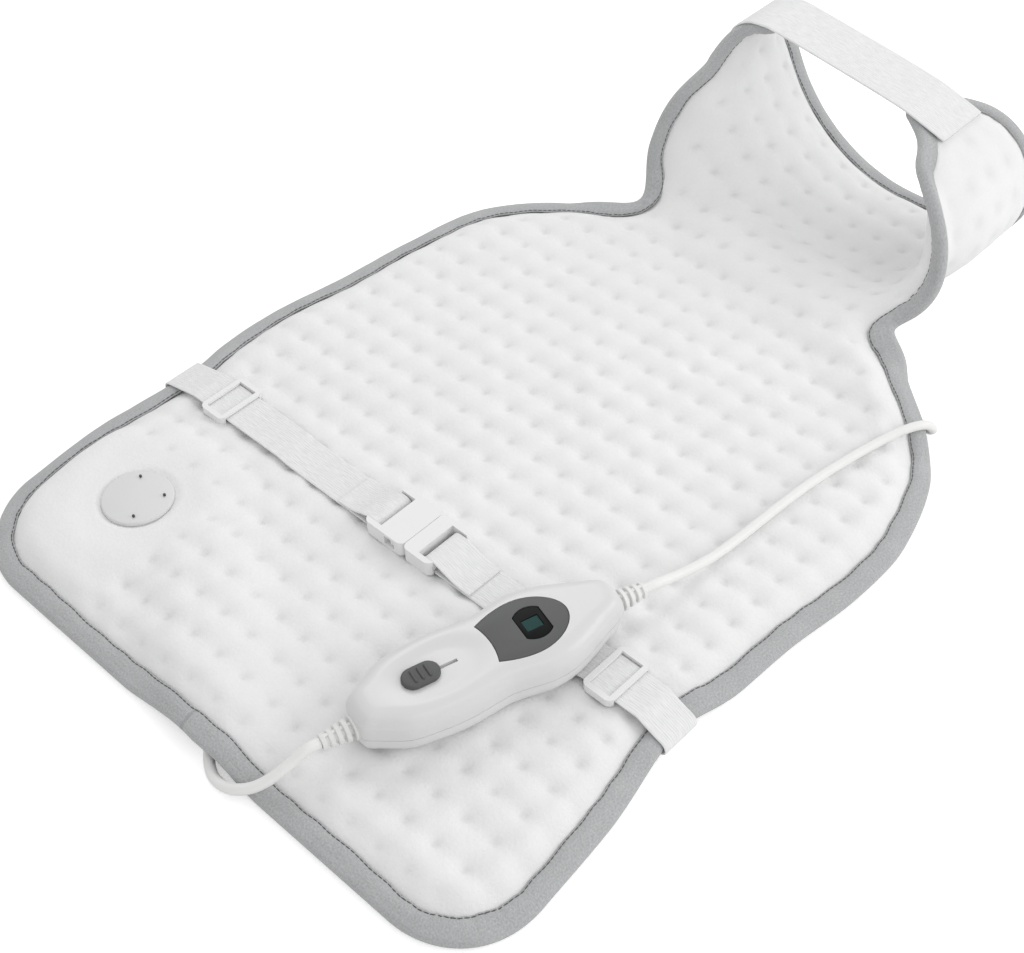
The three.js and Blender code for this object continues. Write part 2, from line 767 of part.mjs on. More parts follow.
function makeSocketHousing() {
  const outline = roundedRectangle(socketLength, socketWidth, 5, junction.x, junction.y);
  const body = plate(outline, fitGap, fitGap + socketHeight);
  const halfWidth = connectorWidth / 2 + fitGap;
  const halfHeight = connectorHeight / 2 + fitGap;
  const mouth = box(
    socketRight - noseLength - 2 * fitGap, socketRight + 1, junction.y - halfWidth, junction.y + halfWidth,
    socketMiddle - halfHeight, socketMiddle + halfHeight,
  );
  return cut(body, mouth);
}

// Contact pin lying along x, from the back of the socket's mouth into the connector.
function makeContact(side) {
  const pin = new THREE.CylinderGeometry(contactDiameter / 2, contactDiameter / 2, contactLength, 10);
  pin.rotateZ(Math.PI / 2);
  const back = socketRight - noseLength - fitGap;
  pin.translate(back + contactLength / 2, junction.y + side * contactSpread, socketMiddle);
  return pin;
}

function makeCordConnector() {
  const nose = box(
    socketRight - noseLength, socketRight + fitGap + 1,
    junction.y - connectorWidth / 2, junction.y + connectorWidth / 2,
    socketMiddle - connectorHeight / 2, socketMiddle + connectorHeight / 2,
  );
  const bodyLength = connectorLength - noseLength;
  const middle = socketRight + fitGap + bodyLength / 2;
  const grip = roundedRectangle(bodyLength, connectorWidth + 2, 4, middle, junction.y);
  const body = plate(grip, socketMiddle - 3.3, socketMiddle + 3.3);
  const holes = [-1, 1].map((side) => {
    const radius = contactDiameter / 2 + fitGap;
    const hole = new THREE.CylinderGeometry(radius, radius, 16, 10);
    hole.rotateZ(Math.PI / 2);
    hole.translate(socketRight - noseLength, junction.y + side * contactSpread, socketMiddle);
    return hole;
  });
  return cut(join(nose, body), ...holes);
}

addPiece(object, 'junction_plate', makeJunctionPlate(), paint('#c9ced8', 0.45));
rivetPlaces.forEach((offset, index) => {
  addPiece(object, `junction_rivet_${index + 1}`, makeRivet(offset), paint('#4a4d52', 0.4, 0.6));
});
addPiece(object, 'socket_housing', makeSocketHousing(), paint('#e9e9ea', 0.5));
addPiece(object, 'socket_contact_1', makeContact(-1), paint('#c8a95a', 0.3, 0.9));
addPiece(object, 'socket_contact_2', makeContact(1), paint('#c8a95a', 0.3, 0.9));
addPiece(object, 'cord_connector', makeCordConnector(), paint('#ececec', 0.5));

// Waist strap, tri-glides and buckle

const restZ = quiltCrest + fitGap;
const strapLowZ = restZ + strapThickness / 2;
const strapHighZ = restZ + glideThickness + fitGap + strapThickness / 2;
const strapEdgeX = padHalfWidth - waistDip;
const strapAside = asideAt(strapY);
const buckleLeft = buckleJointX - femaleLength;
const buckleRight = buckleJointX + fitGap + maleLength;
const buckleBarLow = restZ + 3;
const buckleBarHigh = buckleBarLow + 4;
const slotHalfWidth = strapWidth / 2 + 2 * fitGap;

// Path of one half of the strap: out from under the pad's edge, over it, then round a buckle bar.
function strapPath(way, glideFrom, glideTo, barEnd, slotMiddle) {
  const loopZ = buckleBarHigh + fitGap + strapThickness / 2 + 0.3;
  const sewnZ = strapLowZ + strapThickness + fitGap;
  const waistSlack = 1.6;
  const outside = strapEdgeX + waistSlack + strapThickness;
  const strapTailZ = strapThickness / 2 + 0.1;
  const points = [
    [strapAside + way * (strapEdgeX - tapeLowerLeg), strapTailZ], [strapAside + way * outside, strapTailZ],
    [strapAside + way * outside, tapeFold + tailArch - 1],
    [strapAside + way * (strapEdgeX - 5), tapeFold + tailArch + 1.6],
    [way * glideFrom, strapHighZ], [way * glideTo, strapHighZ], [way * (glideTo - 8), strapLowZ],
    [barEnd + way * 8, strapLowZ], [slotMiddle, strapLowZ + 0.2], [slotMiddle, loopZ],
    [barEnd + way * 1, loopZ], [barEnd + way * 15, sewnZ], [barEnd + way * 26, sewnZ],
  ];
  return points.map(([x, z]) => new THREE.Vector2(x, z));
}

// The strap lies level wherever its glide can slide.
function makeStrap(way, glideX, travel) {
  const ends = glideLength / 2 + strapLevelSlack;
  const glideFrom = Math.abs(glideX) + travel.outward + ends;
  const glideTo = Math.abs(glideX) - travel.inward - ends;
  const barEnd = way < 0 ? buckleLeft : buckleRight;
  const slotMiddle = barEnd - way * (buckleBar + buckleSlot / 2);
  return strip(strapPath(way, glideFrom, glideTo, barEnd, slotMiddle), strapThickness, strapWidth, strapY);
}

// Tri-glide: its two end bars lie over the strap and its middle bar under it.
function makeGlide(x) {
  const rail = slotHalfWidth + glideRail;
  const top = strapHighZ + strapThickness / 2 + fitGap + glideThickness;
  const outline = roundedRectangle(glideLength, 2 * rail, 4, x, strapY);
  const half = glideLength / 2;
  const inner = half - glideBar;
  const [y0, y1] = [strapY - slotHalfWidth, strapY + slotHalfWidth];
  const frame = cut(
    plate(outline, restZ, top),
    box(x - half - 1, x + half + 1, y0, y1, restZ - 1, top - glideThickness),
    box(x - inner, x + inner, y0, y1, top - glideThickness - 1, top + 1),
  );
  const bar = box(x - glideBar / 2, x + glideBar / 2, y0 - 1, y1 + 1, restZ, restZ + glideThickness);
  return join(frame, bar);
}

// One end of the buckle: a block with a slot and a bar for the strap at its outer end.
function makeBuckleEnd(x0, x1, barAtLeft) {
  const outline = roundedRectangle(x1 - x0, buckleWidth, 4, (x0 + x1) / 2, strapY);
  const block = plate(outline, restZ, restZ + buckleHeight);
  const inward = buckleBar + buckleSlot;
  const [from, to] = barAtLeft ? [x0 - 1, x0 + inward] : [x1 - inward, x1 + 1];
  const [barFrom, barTo] = barAtLeft ? [x0, x0 + buckleBar] : [x1 - buckleBar, x1];
  const [y0, y1] = [strapY - slotHalfWidth, strapY + slotHalfWidth];
  const open = cut(block, box(from, to, y0, y1, restZ - 1, restZ + buckleHeight + 1));
  return join(open, box(barFrom, barTo, y0 - 1, y1 + 1, buckleBarLow, buckleBarHigh));
}

const cavityHalfWidth = buckleWidth / 2 - 3;
const tongueHalfWidth = 3.4;
const windowFrom = buckleJointX - prongHeadAt - prongWindow / 2 - 0.5;
const windowTo = windowFrom + prongWindow;

function makeBuckleFemale() {
  const cavity = box(
    buckleLeft + buckleBar + buckleSlot + 1.5, buckleJointX + 1,
    strapY - cavityHalfWidth, strapY + cavityHalfWidth,
    restZ + buckleWall, restZ + buckleHeight - buckleWall,
  );
  const windows = box(
    windowFrom, windowTo, strapY - buckleWidth, strapY + buckleWidth,
    restZ + buckleWall, restZ + buckleHeight - buckleWall,
  );
  return cut(makeBuckleEnd(buckleLeft, buckleJointX, true), cavity, windows);
}

function makeBuckleMale() {
  const lift = buckleWall + fitGap;
  const tongue = box(
    buckleJointX - prongLength, buckleJointX + fitGap + 1, strapY - tongueHalfWidth, strapY + tongueHalfWidth,
    restZ + lift, restZ + buckleHeight - lift,
  );
  return join(makeBuckleEnd(buckleJointX + fitGap, buckleRight, false), tongue);
}

// Springy arm of the male half; its head shows in the side window. side is +1 or -1 across the strap.
const prongRoot = { x: buckleJointX, y: 7.8 };

function makeProng(side) {
  const inner = prongRoot.y - prongThickness / 2;
  const outer = prongRoot.y + prongThickness / 2;
  const head = buckleWidth / 2 - 0.9;
  const outline = [
    [0, inner], [0, outer], [3.6 - prongHeadAt, outer + 0.5], [2.6 - prongHeadAt, head - 1],
    [-prongHeadAt, head], [0.8 - prongLength, outer + 2], [-prongLength, outer - 1], [3.8 - prongLength, inner],
  ].map(([dx, dy]) => new THREE.Vector2(prongRoot.x + dx, strapY + side * dy));
  if (side > 0) outline.reverse();
  const lift = buckleWall + 2 * fitGap;
  return plate(new THREE.Shape(outline), restZ + lift, restZ + buckleHeight - lift);
}

const webbing = paint('#f0f0f0', 0.85);
const buckleWhite = paint('#eef0f2', 0.4);
addPiece(object, 'strap_left', makeStrap(-1, leftGlideX, leftGlideTravel), webbing.clone());
addPiece(object, 'strap_right', makeStrap(1, rightGlideX, rightGlideTravel), webbing.clone());
addPiece(object, 'glide_left', makeGlide(leftGlideX), buckleWhite.clone());
addPiece(object, 'glide_right', makeGlide(rightGlideX), buckleWhite.clone());
addPiece(object, 'buckle_female', makeBuckleFemale(), buckleWhite.clone());
addPiece(object, 'buckle_male', makeBuckleMale(), buckleWhite.clone());
addPiece(object, 'buckle_prong_front', makeProng(-1), buckleWhite.clone());
addPiece(object, 'buckle_prong_back', makeProng(1), buckleWhite.clone());

// Band across the collar, sewn to the outer face of both wing ends.

function makeNeckBand() {
  const v = neckline - neckBandFromNeck;
  const tip = padHalfWidth - wingTipDip;
  const lift = -2 * fitGap - neckBandThickness / 2;
  const steps = 7;
  const sewn = Array.from({ length: steps + 1 }, (_, step) => (neckBandOverlap * step) / steps);
  const places = [
    [tip - neckBandOverlap, lift], [tip - neckBandOverlap / 2, lift], [tip, lift],
    ...sewn.map((inward) => [inward - tip, lift]),
  ];
  const path = places.map(([u, w]) => {
    const point = onPad(u, v, w);
    return new THREE.Vector2(point.x, point.z);
  });
  return strip(path, neckBandThickness, neckBandWidth, v);
}

addPiece(object, 'neck_band', makeNeckBand(), webbing.clone());

// Controller: two shells round a board, a display and a slide switch, with a strain relief at each end.

const controller = new THREE.Group();
controller.position.set(controllerPlace.x, controllerPlace.y, controllerPlace.z);
controller.rotation.z = controllerTurn;
object.add(controller);

const reliefHeight = seamHeight + fitGap / 2;
const fieldFloor = controllerHeight - fieldDepth;
const cavityTop = controllerHeight - shellRoof;

// Half outline of the shells, as [distance from the lower end, half width].
const controllerOutline = [
  [0, 9.5], [5, 13.2], [11, 17], [20, 22], [34, 24.5], [52, 25.6], [66, 24.4], [77, 23.6], [88, 25.2],
  [99, controllerWidest], [109, 26.4], [117, 24.4], [126, 20.8], [139, 14.6], [controllerLength, 8.2],
];

// Solid of the controller's outline: each level is a share of the width, a share of the length and a height.
function podSolid(levels, inset = 0) {
  const middle = controllerLength / 2;
  const half = controllerOutline.map(([y, x]) => new THREE.Vector2(
    x - inset, THREE.MathUtils.clamp(y, inset, controllerLength - inset),
  ));
  const outline = [...half, ...half.map((point) => new THREE.Vector2(-point.x, point.y)).reverse()];
  const rings = levels.map(([width, length, z]) => outline.map((point) => new THREE.Vector3(
    point.x * width, middle + (point.y - middle) * length, z,
  )));
  const triangles = [];
  rings.slice(1).forEach((upper, level) => {
    const lower = rings[level];
    upper.forEach((corner, index) => {
      const next = (index + 1) % upper.length;
      triangles.push([lower[index], lower[next], upper[next]], [lower[index], upper[next], corner]);
    });
  });
  const cap = THREE.ShapeUtils.triangulateShape(outline, []);
  const bottom = rings[0];
  const top = rings[rings.length - 1];
  const turned = (a, b, c) => {
    const area = (outline[b].x - outline[a].x) * (outline[c].y - outline[a].y)
      - (outline[b].y - outline[a].y) * (outline[c].x - outline[a].x);
    return area > 0 ? [a, b, c] : [a, c, b];
  };
  cap.map(([a, b, c]) => turned(a, b, c)).forEach(([a, b, c]) => {
    triangles.push([top[a], top[b], top[c]], [bottom[a], bottom[c], bottom[b]]);
  });
  return fromTriangles(triangles);
}

// Round bar along the controller's length, for the neck of a strain relief.
function neckBore(y0, y1, diameter) {
  const bore = new THREE.CylinderGeometry(diameter / 2, diameter / 2, y1 - y0, 24);
  bore.translate(0, (y0 + y1) / 2, reliefHeight);
  return bore;
}

function neckBores() {
  const diameter = reliefNeckDiameter + 2 * fitGap;
  const depth = 4 * shellWall;
  return [neckBore(-1, depth, diameter), neckBore(controllerLength - depth, controllerLength + 1, diameter)];
}

const screwPlaces = [[0, 13.2], [-15, 88], [15, 88], [0, 131]];
const screwTop = seamHeight + 6;
const counterboreDepth = 3;

function fieldOutline(grow = 0) {
  const shape = new THREE.Shape();
  const length = (fieldEnd - fieldStart) / 2 + grow;
  shape.absellipse(0, (fieldStart + fieldEnd) / 2, fieldHalfWidth + grow, length, 0, 2 * Math.PI);
  return shape;
}

// Outline of the display panel: a hollowed lower end and a round upper end.
function panelOutline(shrink = 0) {
  const half = panelHalfWidth - shrink;
  const shape = new THREE.Shape();
  shape.moveTo(-13 + shrink, panelStart + shrink - 2);
  shape.quadraticCurveTo(0, panelStart + shrink + 2.6, 13 - shrink, panelStart + shrink - 2);
  shape.quadraticCurveTo(half, panelStart + 10, half, panelStart + 20);
  shape.bezierCurveTo(half, panelEnd - 12, half - 9, panelEnd - shrink, 0, panelEnd - shrink);
  shape.bezierCurveTo(-half + 9, panelEnd - shrink, -half, panelEnd - 12, -half, panelStart + 20);
  shape.quadraticCurveTo(-half, panelStart + 10, -13 + shrink, panelStart + shrink - 2);
  return shape;
}

// Outline of the display window: a circle with two flats.
function windowOutline(grow = 0) {
  const radius = windowDiameter / 2 + grow;
  const flat = windowFlat / 2 + grow;
  const corner = Math.asin(flat / radius);
  const shape = new THREE.Shape();
  shape.absarc(0, windowCentre, radius, -corner, corner);
  shape.absarc(0, windowCentre, radius, Math.PI - corner, Math.PI + corner);
  shape.closePath();
  return shape;
}

const slotStart = knobStart + (knobLength - stemLength) / 2;

function switchSlot() {
  return box(
    -stemWidth / 2 - fitGap, stemWidth / 2 + fitGap,
    slotStart - 2 * fitGap, slotStart + stemLength + knobTravel + 2 * fitGap, cavityTop - 4, fieldFloor + 4,
  );
}

function makeUpperShell() {
  const seam = seamHeight + fitGap;
  const outside = podSolid([
    [1, 1, seam], [1, 1, 16], [0.975, 0.99, 20.5], [0.92, 0.965, 23.8], [0.82, 0.93, 25.8],
    [0.66, 0.87, controllerHeight - 0.25], [0.3, 0.6, controllerHeight],
  ]);
  const inside = podSolid([
    [1, 1, seam - 1], [1, 1, 15], [0.94, 0.98, 19.5], [0.84, 0.94, 22.4], [0.74, 0.9, cavityTop],
  ], shellWall);
  const shell = cut(outside, inside);
  const posts = screwPlaces.map(([x, y]) => post(x, y, postDiameter, seam, cavityTop + 1, 14));
  const holes = screwPlaces.map(([x, y]) => post(
    x, y, screwShankDiameter + 2 * fitGap, seam - 1, screwTop + fitGap, 12,
  ));
  return cut(
    join(shell, ...posts), ...holes, ...neckBores(), switchSlot(),
    plate(fieldOutline(), fieldFloor, controllerHeight + 4, 28),
    plate(panelOutline(), cavityTop - 2, controllerHeight + 4, 8),
  );
}

function makeLowerShell() {
  const outside = podSolid([
    [0.55, 0.82, 0], [0.8, 0.92, 0.5], [0.93, 0.97, 2.2], [0.985, 0.993, 5], [1, 1, 8], [1, 1, seamHeight],
  ]);
  const inside = podSolid([
    [0.7, 0.88, shellWall], [0.9, 0.96, 3.6], [1, 1, 8], [1, 1, seamHeight + 1],
  ], shellWall);
  const posts = screwPlaces.map(([x, y]) => post(x, y, postDiameter + 2, shellWall - 0.5, seamHeight, 14));
  const shanks = screwPlaces.map(([x, y]) => post(
    x, y, screwShankDiameter + 2 * fitGap, -1, seamHeight + 1, 12,
  ));
  const heads = screwPlaces.map(([x, y]) => post(
    x, y, screwHeadDiameter + 2 * fitGap, -1, counterboreDepth, 14,
  ));
  return cut(join(cut(outside, inside), ...posts), ...shanks, ...heads, ...neckBores());
}

function makeScrew([x, y]) {
  const head = screwHeadDiameter / 2;
  const shank = screwShankDiameter / 2;
  const seat = counterboreDepth - fitGap;
  const under = seat - 1.6;
  const profile = [[0, under], [head, under], [head, seat], [shank, seat], [shank, screwTop], [0, screwTop]];
  const screw = new THREE.LatheGeometry(profile.map(([r, z]) => new THREE.Vector2(r, z)), 14);
  screw.rotateX(Math.PI / 2);
  screw.translate(x, y, 0);
  return screw;
}

function makeDisplayPanel() {
  const top = controllerHeight - 0.1;
  const lip = plate(panelOutline(fitGap), top - panelThickness, top, 8);
  return cut(lip, plate(windowOutline(fitGap), top - 2 * panelThickness, top + 1, 10));
}

function makeDisplayWindow() {
  const top = controllerHeight - 0.3;
  return plate(windowOutline(), top - panelThickness, top, 10);
}

function makeLcdModule() {
  const top = controllerHeight - 0.3 - panelThickness - fitGap;
  const low = boardHeight + boardThickness + fitGap;
  const [y0, y1] = [windowCentre - lcdLength / 2, windowCentre + lcdLength / 2];
  return box(-lcdWidth / 2, lcdWidth / 2, y0, y1, low, top);
}

// Circuit board on the screw posts of the lower shell, cut to clear them.
const boardStart = 22;
const boardEnd = 122;
const boardHalfWidth = 16;

function makeCircuitBoard() {
  const outline = roundedRectangle(
    2 * boardHalfWidth, boardEnd - boardStart, 6, 0, (boardStart + boardEnd) / 2,
  );
  const holes = screwPlaces.map(([x, y]) => post(
    x, y, postDiameter + 2 + 2 * fitGap, boardHeight - 1, boardHeight + boardThickness + 1, 14,
  ));
  const shelf = plate(outline, boardHeight, boardHeight + boardThickness);
  return cut(shelf, ...holes);
}

// Rests between the floor of the lower shell and the board.
const boardRestWidth = 20;
const boardRestLength = 3;
const boardRestPlaces = [40, 104];

function makeBoardRest(y) {
  const [halfWidth, halfLength] = [boardRestWidth / 2, boardRestLength / 2];
  return box(-halfWidth, halfWidth, y - halfLength, y + halfLength, shellWall + fitGap, boardHeight - fitGap);
}

const boardTop = boardHeight + boardThickness + fitGap;
const switchMiddle = knobStart + (knobLength + knobTravel) / 2;
const carriageHeight = 2.4;
const carriageTop = cavityTop - fitGap;

function makeSwitchBody() {
  const length = stemLength + knobTravel + 6;
  const top = carriageTop - carriageHeight - fitGap;
  return box(-7, 7, switchMiddle - length / 2, switchMiddle + length / 2, boardTop, top);
}

// The carriage is long enough to close the slot from below at both ends of the knob's travel.
function makeSwitchCarriage() {
  const from = slotStart - knobTravel - 3 * fitGap;
  const to = slotStart + stemLength + knobTravel + 3 * fitGap;
  return box(-6, 6, from, to, carriageTop - carriageHeight, carriageTop);
}

function makeSlideKnob() {
  const middle = knobStart + knobLength / 2;
  const low = fieldFloor + fitGap;
  const outline = roundedRectangle(knobWidth, knobLength, knobWidth / 2 - 0.1, 0, middle);
  const cap = plate(outline, low, low + knobHeight - 1, 6);
  const stem = box(
    -stemWidth / 2, stemWidth / 2, middle - stemLength / 2, middle + stemLength / 2,
    carriageTop + fitGap, low + 1,
  );
  const ribs = [-4, 0, 4].map((offset) => box(
    -knobWidth / 2 + 2.4, knobWidth / 2 - 2.4, middle + offset - 0.8, middle + offset + 0.8,
    low + knobHeight - 1.5, low + knobHeight,
  ));
  return join(cap, stem, ...ribs);
}

// Relay and cable terminals on the board
const relayWidth = 10;
const relayLength = 16;
const relayHeight = 9;
const relayPlace = { x: -7, y: 76 };
const terminalWidth = 16;
const terminalLength = 5.5;
const terminalHeight = 6;
const terminalInset = 0.8;

function makeRelay() {
  const relay = roundedRectangle(relayWidth, relayLength, 1, relayPlace.x, relayPlace.y);
  return plate(relay, boardTop, boardTop + relayHeight, 1);
}

function makeTerminal(from) {
  const half = terminalWidth / 2;
  return box(-half, half, from, from + terminalLength, boardTop, boardTop + terminalHeight);
}

// Strain relief: a neck held by both shells, a flange against their end, then a ribbed taper.
function makeRelief(outward, end) {
  const neck = reliefNeckDiameter / 2;
  const flange = reliefFlangeDiameter / 2;
  const tip = reliefTipDiameter / 2;
  const neckLength = shellWall + 3;
  const profile = [[0, -neckLength], [neck, -neckLength], [neck, fitGap], [flange, fitGap], [flange, 2]];
  const ribStart = 2.4;
  const ribPitch = (reliefLength - ribStart) / reliefRibs;
  for (let rib = 0; rib < reliefRibs; rib += 1) {
    const y = ribStart + rib * ribPitch;
    const taper = (at) => flange - 0.6 + ((tip - flange + 0.6) * (at - ribStart)) / (reliefLength - ribStart);
    const groove = y + 0.4 * ribPitch;
    const next = y + ribPitch;
    profile.push([tip - 0.4, y], [tip - 0.4, groove], [taper(groove), groove], [taper(next), next]);
  }
  profile.push([0, reliefLength]);
  const relief = new THREE.LatheGeometry(profile.map(([r, y]) => new THREE.Vector2(r, y)), 16);
  if (outward < 0) relief.rotateX(Math.PI);
  relief.translate(0, end, reliefHeight);
  return relief;
}

const shellWhite = paint('#f2f3f4', 0.22);
addPiece(controller, 'controller_upper_shell', makeUpperShell(), shellWhite.clone());
addPiece(controller, 'controller_lower_shell', makeLowerShell(), shellWhite.clone());
screwPlaces.forEach((place, index) => {
  addPiece(controller, `controller_screw_${index + 1}`, makeScrew(place), paint('#8f9399', 0.35, 0.9));
});
addPiece(controller, 'display_panel', makeDisplayPanel(), paint('#a9aeb6', 0.3));
addPiece(controller, 'display_window', makeDisplayWindow(), paint('#15181c', 0.08));
addPiece(controller, 'lcd_module', makeLcdModule(), paint('#3f9f9d', 0.2));
addPiece(controller, 'circuit_board', makeCircuitBoard(), paint('#2d6b3f', 0.5));
boardRestPlaces.forEach((place, index) => {
  addPiece(controller, `board_rest_${index + 1}`, makeBoardRest(place), shellWhite.clone());
});
addPiece(controller, 'switch_body', makeSwitchBody(), paint('#222427', 0.5));
addPiece(controller, 'switch_carriage', makeSwitchCarriage(), paint('#d8d8d8', 0.5));
addPiece(controller, 'slide_knob', makeSlideKnob(), paint('#55585e', 0.45));
addPiece(controller, 'power_relay', makeRelay(), paint('#26548c', 0.45));
addPiece(controller, 'terminal_pad', makeTerminal(boardStart + terminalInset), paint('#4f8f4a', 0.5));
const mainsTerminalAt = boardEnd - terminalInset - terminalLength;
addPiece(controller, 'terminal_mains', makeTerminal(mainsTerminalAt), paint('#4f8f4a', 0.5));
addPiece(controller, 'strain_relief_pad', makeRelief(-1, 0), paint('#eceded', 0.5));
addPiece(controller, 'strain_relief_mains', makeRelief(1, controllerLength), paint('#eceded', 0.5));

// Cords

controller.updateMatrixWorld(true);

function reliefTip(outward) {
  const end = outward < 0 ? -reliefLength - fitGap : controllerLength + reliefLength + fitGap;
  return controller.localToWorld(new THREE.Vector3(0, end, reliefHeight));
}

function toPoints(list) {
  return list.map(([x, y, z]) => new THREE.Vector3(x, y, z));
}

function cordAlong(points, diameter) {
  const curve = new THREE.CatmullRomCurve3(points, false, 'centripetal');
  const length = curve.getLength();
  return { length, geometry: tube(curve, diameter, 8, Math.round(length / (2.6 * diameter))) };
}

// A point straight on from an end, one cord diameter away, so that the cord leaves square.
function straightOn(outward, diameter) {
  const tip = reliefTip(outward);
  const along = new THREE.Vector3(0, outward, 0).applyQuaternion(controller.quaternion);
  return tip.addScaledVector(along, diameter);
}

const connectorEnd = socketRight + fitGap + connectorLength - noseLength;

function makePadCord() {
  return cordAlong([
    reliefTip(-1), straightOn(-1, padCordDiameter), ...toPoints(padCordOver), ...toPoints(padCordUnder),
    new THREE.Vector3(connectorEnd + padCordDiameter, junction.y, socketMiddle),
    new THREE.Vector3(connectorEnd + fitGap, junction.y, socketMiddle),
  ], padCordDiameter);
}

// Coil: spirals in on the floor, climbs in the half turn where the spiral reverses, and spirals out on top.

const coilTurns = 2 * coilTurnsPerLayer;
const coilFloor = mainsCordDiameter / 2 + tieThickness + 2 * fitGap;
const coilStart = THREE.MathUtils.degToRad(-10);

function coilPoint(turn) {
  const fromEnd = Math.min(turn, coilTurns - turn);
  const radius = coilOuterRadius - coilPitch * fromEnd;
  const angle = coilStart + 2 * Math.PI * turn;
  const climb = THREE.MathUtils.clamp(2 * (turn - coilTurnsPerLayer) + 0.5, 0, 1);
  return new THREE.Vector3(
    coilCentre.x + radius * Math.cos(angle), coilCentre.y + radius * Math.sin(angle),
    coilFloor + coilPitch * climb,
  );
}

// Heading of the cord at the start and the end of the coil, square to the radius there.
const coilHeading = new THREE.Vector3(-Math.sin(coilStart), Math.cos(coilStart), 0);

function coilPath(stepsPerTurn) {
  const points = [coilPoint(0).addScaledVector(coilHeading, -mainsCordDiameter)];
  for (let step = 0; step <= coilTurns * stepsPerTurn; step += 1) points.push(coilPoint(step / stepsPerTurn));
  points.push(coilPoint(coilTurns).addScaledVector(coilHeading, mainsCordDiameter));
  return points;
}

function makeCoil() {
  const sides = 6;
  const points = coilPath(24);
  const up = new THREE.Vector3(0, 0, 1);
  const rings = points.map((point, index) => {
    const before = points[Math.max(index - 1, 0)];
    const after = points[Math.min(index + 1, points.length - 1)];
    const isEnd = index < 2 || index > points.length - 3;
    const along = isEnd ? coilHeading.clone() : after.clone().sub(before).normalize();
    const across = along.clone().cross(up).normalize();
    const over = across.clone().cross(along);
    return Array.from({ length: sides }, (_, side) => {
      const angle = -((side + 0.5) / sides) * 2 * Math.PI;
      return point.clone()
        .addScaledVector(across, (mainsCordDiameter / 2) * Math.cos(angle))
        .addScaledVector(over, (mainsCordDiameter / 2) * Math.sin(angle));
    });
  });
  const triangles = [];
  rings.slice(1).forEach((next, index) => {
    const ringNow = rings[index];
    for (let side = 0; side < sides; side += 1) {
      const other = (side + 1) % sides;
      triangles.push([ringNow[side], ringNow[other], next[other]], [ringNow[side], next[other], next[side]]);
    }
  });
  const first = rings[0];
  const last = rings[rings.length - 1];
  for (let side = 1; side + 1 < sides; side += 1) {
    triangles.push([first[0], first[side + 1], first[side]], [last[0], last[side], last[side + 1]]);
  }
  return fromTriangles(triangles);
}

// Least gap between turns of the coil, measured on its centreline.
function coilGap() {
  const stepsPerTurn = 96;
  const points = coilPath(stepsPerTurn);
  let least = Infinity;
  for (let i = 0; i < points.length; i += 1) {
    for (let j = i + stepsPerTurn / 2; j < points.length; j += 1) {
      least = Math.min(least, points[i].distanceTo(points[j]));
    }
  }
  return least - mainsCordDiameter;
}

function pathLength(points) {
  return points.slice(1).reduce((sum, point, index) => sum + point.distanceTo(points[index]), 0);
}

function makeMainsCord() {
  const end = coilPath(1)[0].addScaledVector(coilHeading, -fitGap);
  return cordAlong([
    reliefTip(1), straightOn(1, mainsCordDiameter), ...toPoints(mainsCordOver), ...toPoints(mainsCordUnder),
    ...toPoints(mainsCordBehind), end.clone().addScaledVector(coilHeading, -mainsCordDiameter), end,
  ], mainsCordDiameter);
}

// Plug lying on the coil, its pins toward the lower edge of the pad.
const coilTop = coilFloor + coilPitch + mainsCordDiameter / 2;
const plugPlace = { x: coilCentre.x + 4, y: coilCentre.y + 26, z: coilTop + fitGap + plugThickness / 2 };

function makePlugLead() {
  const start = coilPath(1).at(-1).addScaledVector(coilHeading, fitGap);
  const end = new THREE.Vector3(plugPlace.x, plugPlace.y + fitGap, plugPlace.z);
  return cordAlong([
    start, start.clone().addScaledVector(coilHeading, mainsCordDiameter), ...toPoints([
      [-76, 312, 11.8], [-83, 327, 14.6], [-96, 335, 17.8],
    ]),
    new THREE.Vector3(end.x + 2, end.y + 2.6 * mainsCordDiameter, end.z),
    end.clone().add(new THREE.Vector3(0, mainsCordDiameter, 0)), end,
  ], mainsCordDiameter);
}

function makePlug() {
  const half = plugWidth / 2;
  const outline = new THREE.Shape();
  outline.moveTo(-mainsCordDiameter, 0);
  outline.lineTo(mainsCordDiameter, 0);
  outline.bezierCurveTo(mainsCordDiameter + 1, -9, half, -8, half, -16);
  outline.lineTo(half, -plugLength);
  outline.lineTo(-half, -plugLength);
  outline.lineTo(-half, -16);
  outline.bezierCurveTo(-half, -8, -mainsCordDiameter - 1, -9, -mainsCordDiameter, 0);
  const bevel = 2;
  const body = new THREE.ExtrudeGeometry(outline, {
    depth: plugThickness - 2 * bevel, bevelEnabled: true, bevelThickness: bevel, bevelSize: bevel,
    bevelOffset: -bevel, bevelSegments: 2, curveSegments: 5,
  });
  body.translate(plugPlace.x, plugPlace.y, plugPlace.z - plugThickness / 2 + bevel);
  return body;
}

function makePlugPin(side) {
  const radius = plugPinDiameter / 2;
  const profile = [
    [0, 0], [radius, 0], [radius, plugPinLength - 1.2], [radius - 1, plugPinLength], [0, plugPinLength],
  ];
  const pin = new THREE.LatheGeometry(profile.map(([r, y]) => new THREE.Vector2(r, y)), 12);
  pin.rotateX(Math.PI);
  pin.translate(plugPlace.x + (side * plugPinPitch) / 2, plugPlace.y - plugLength - fitGap, plugPlace.z);
  return pin;
}

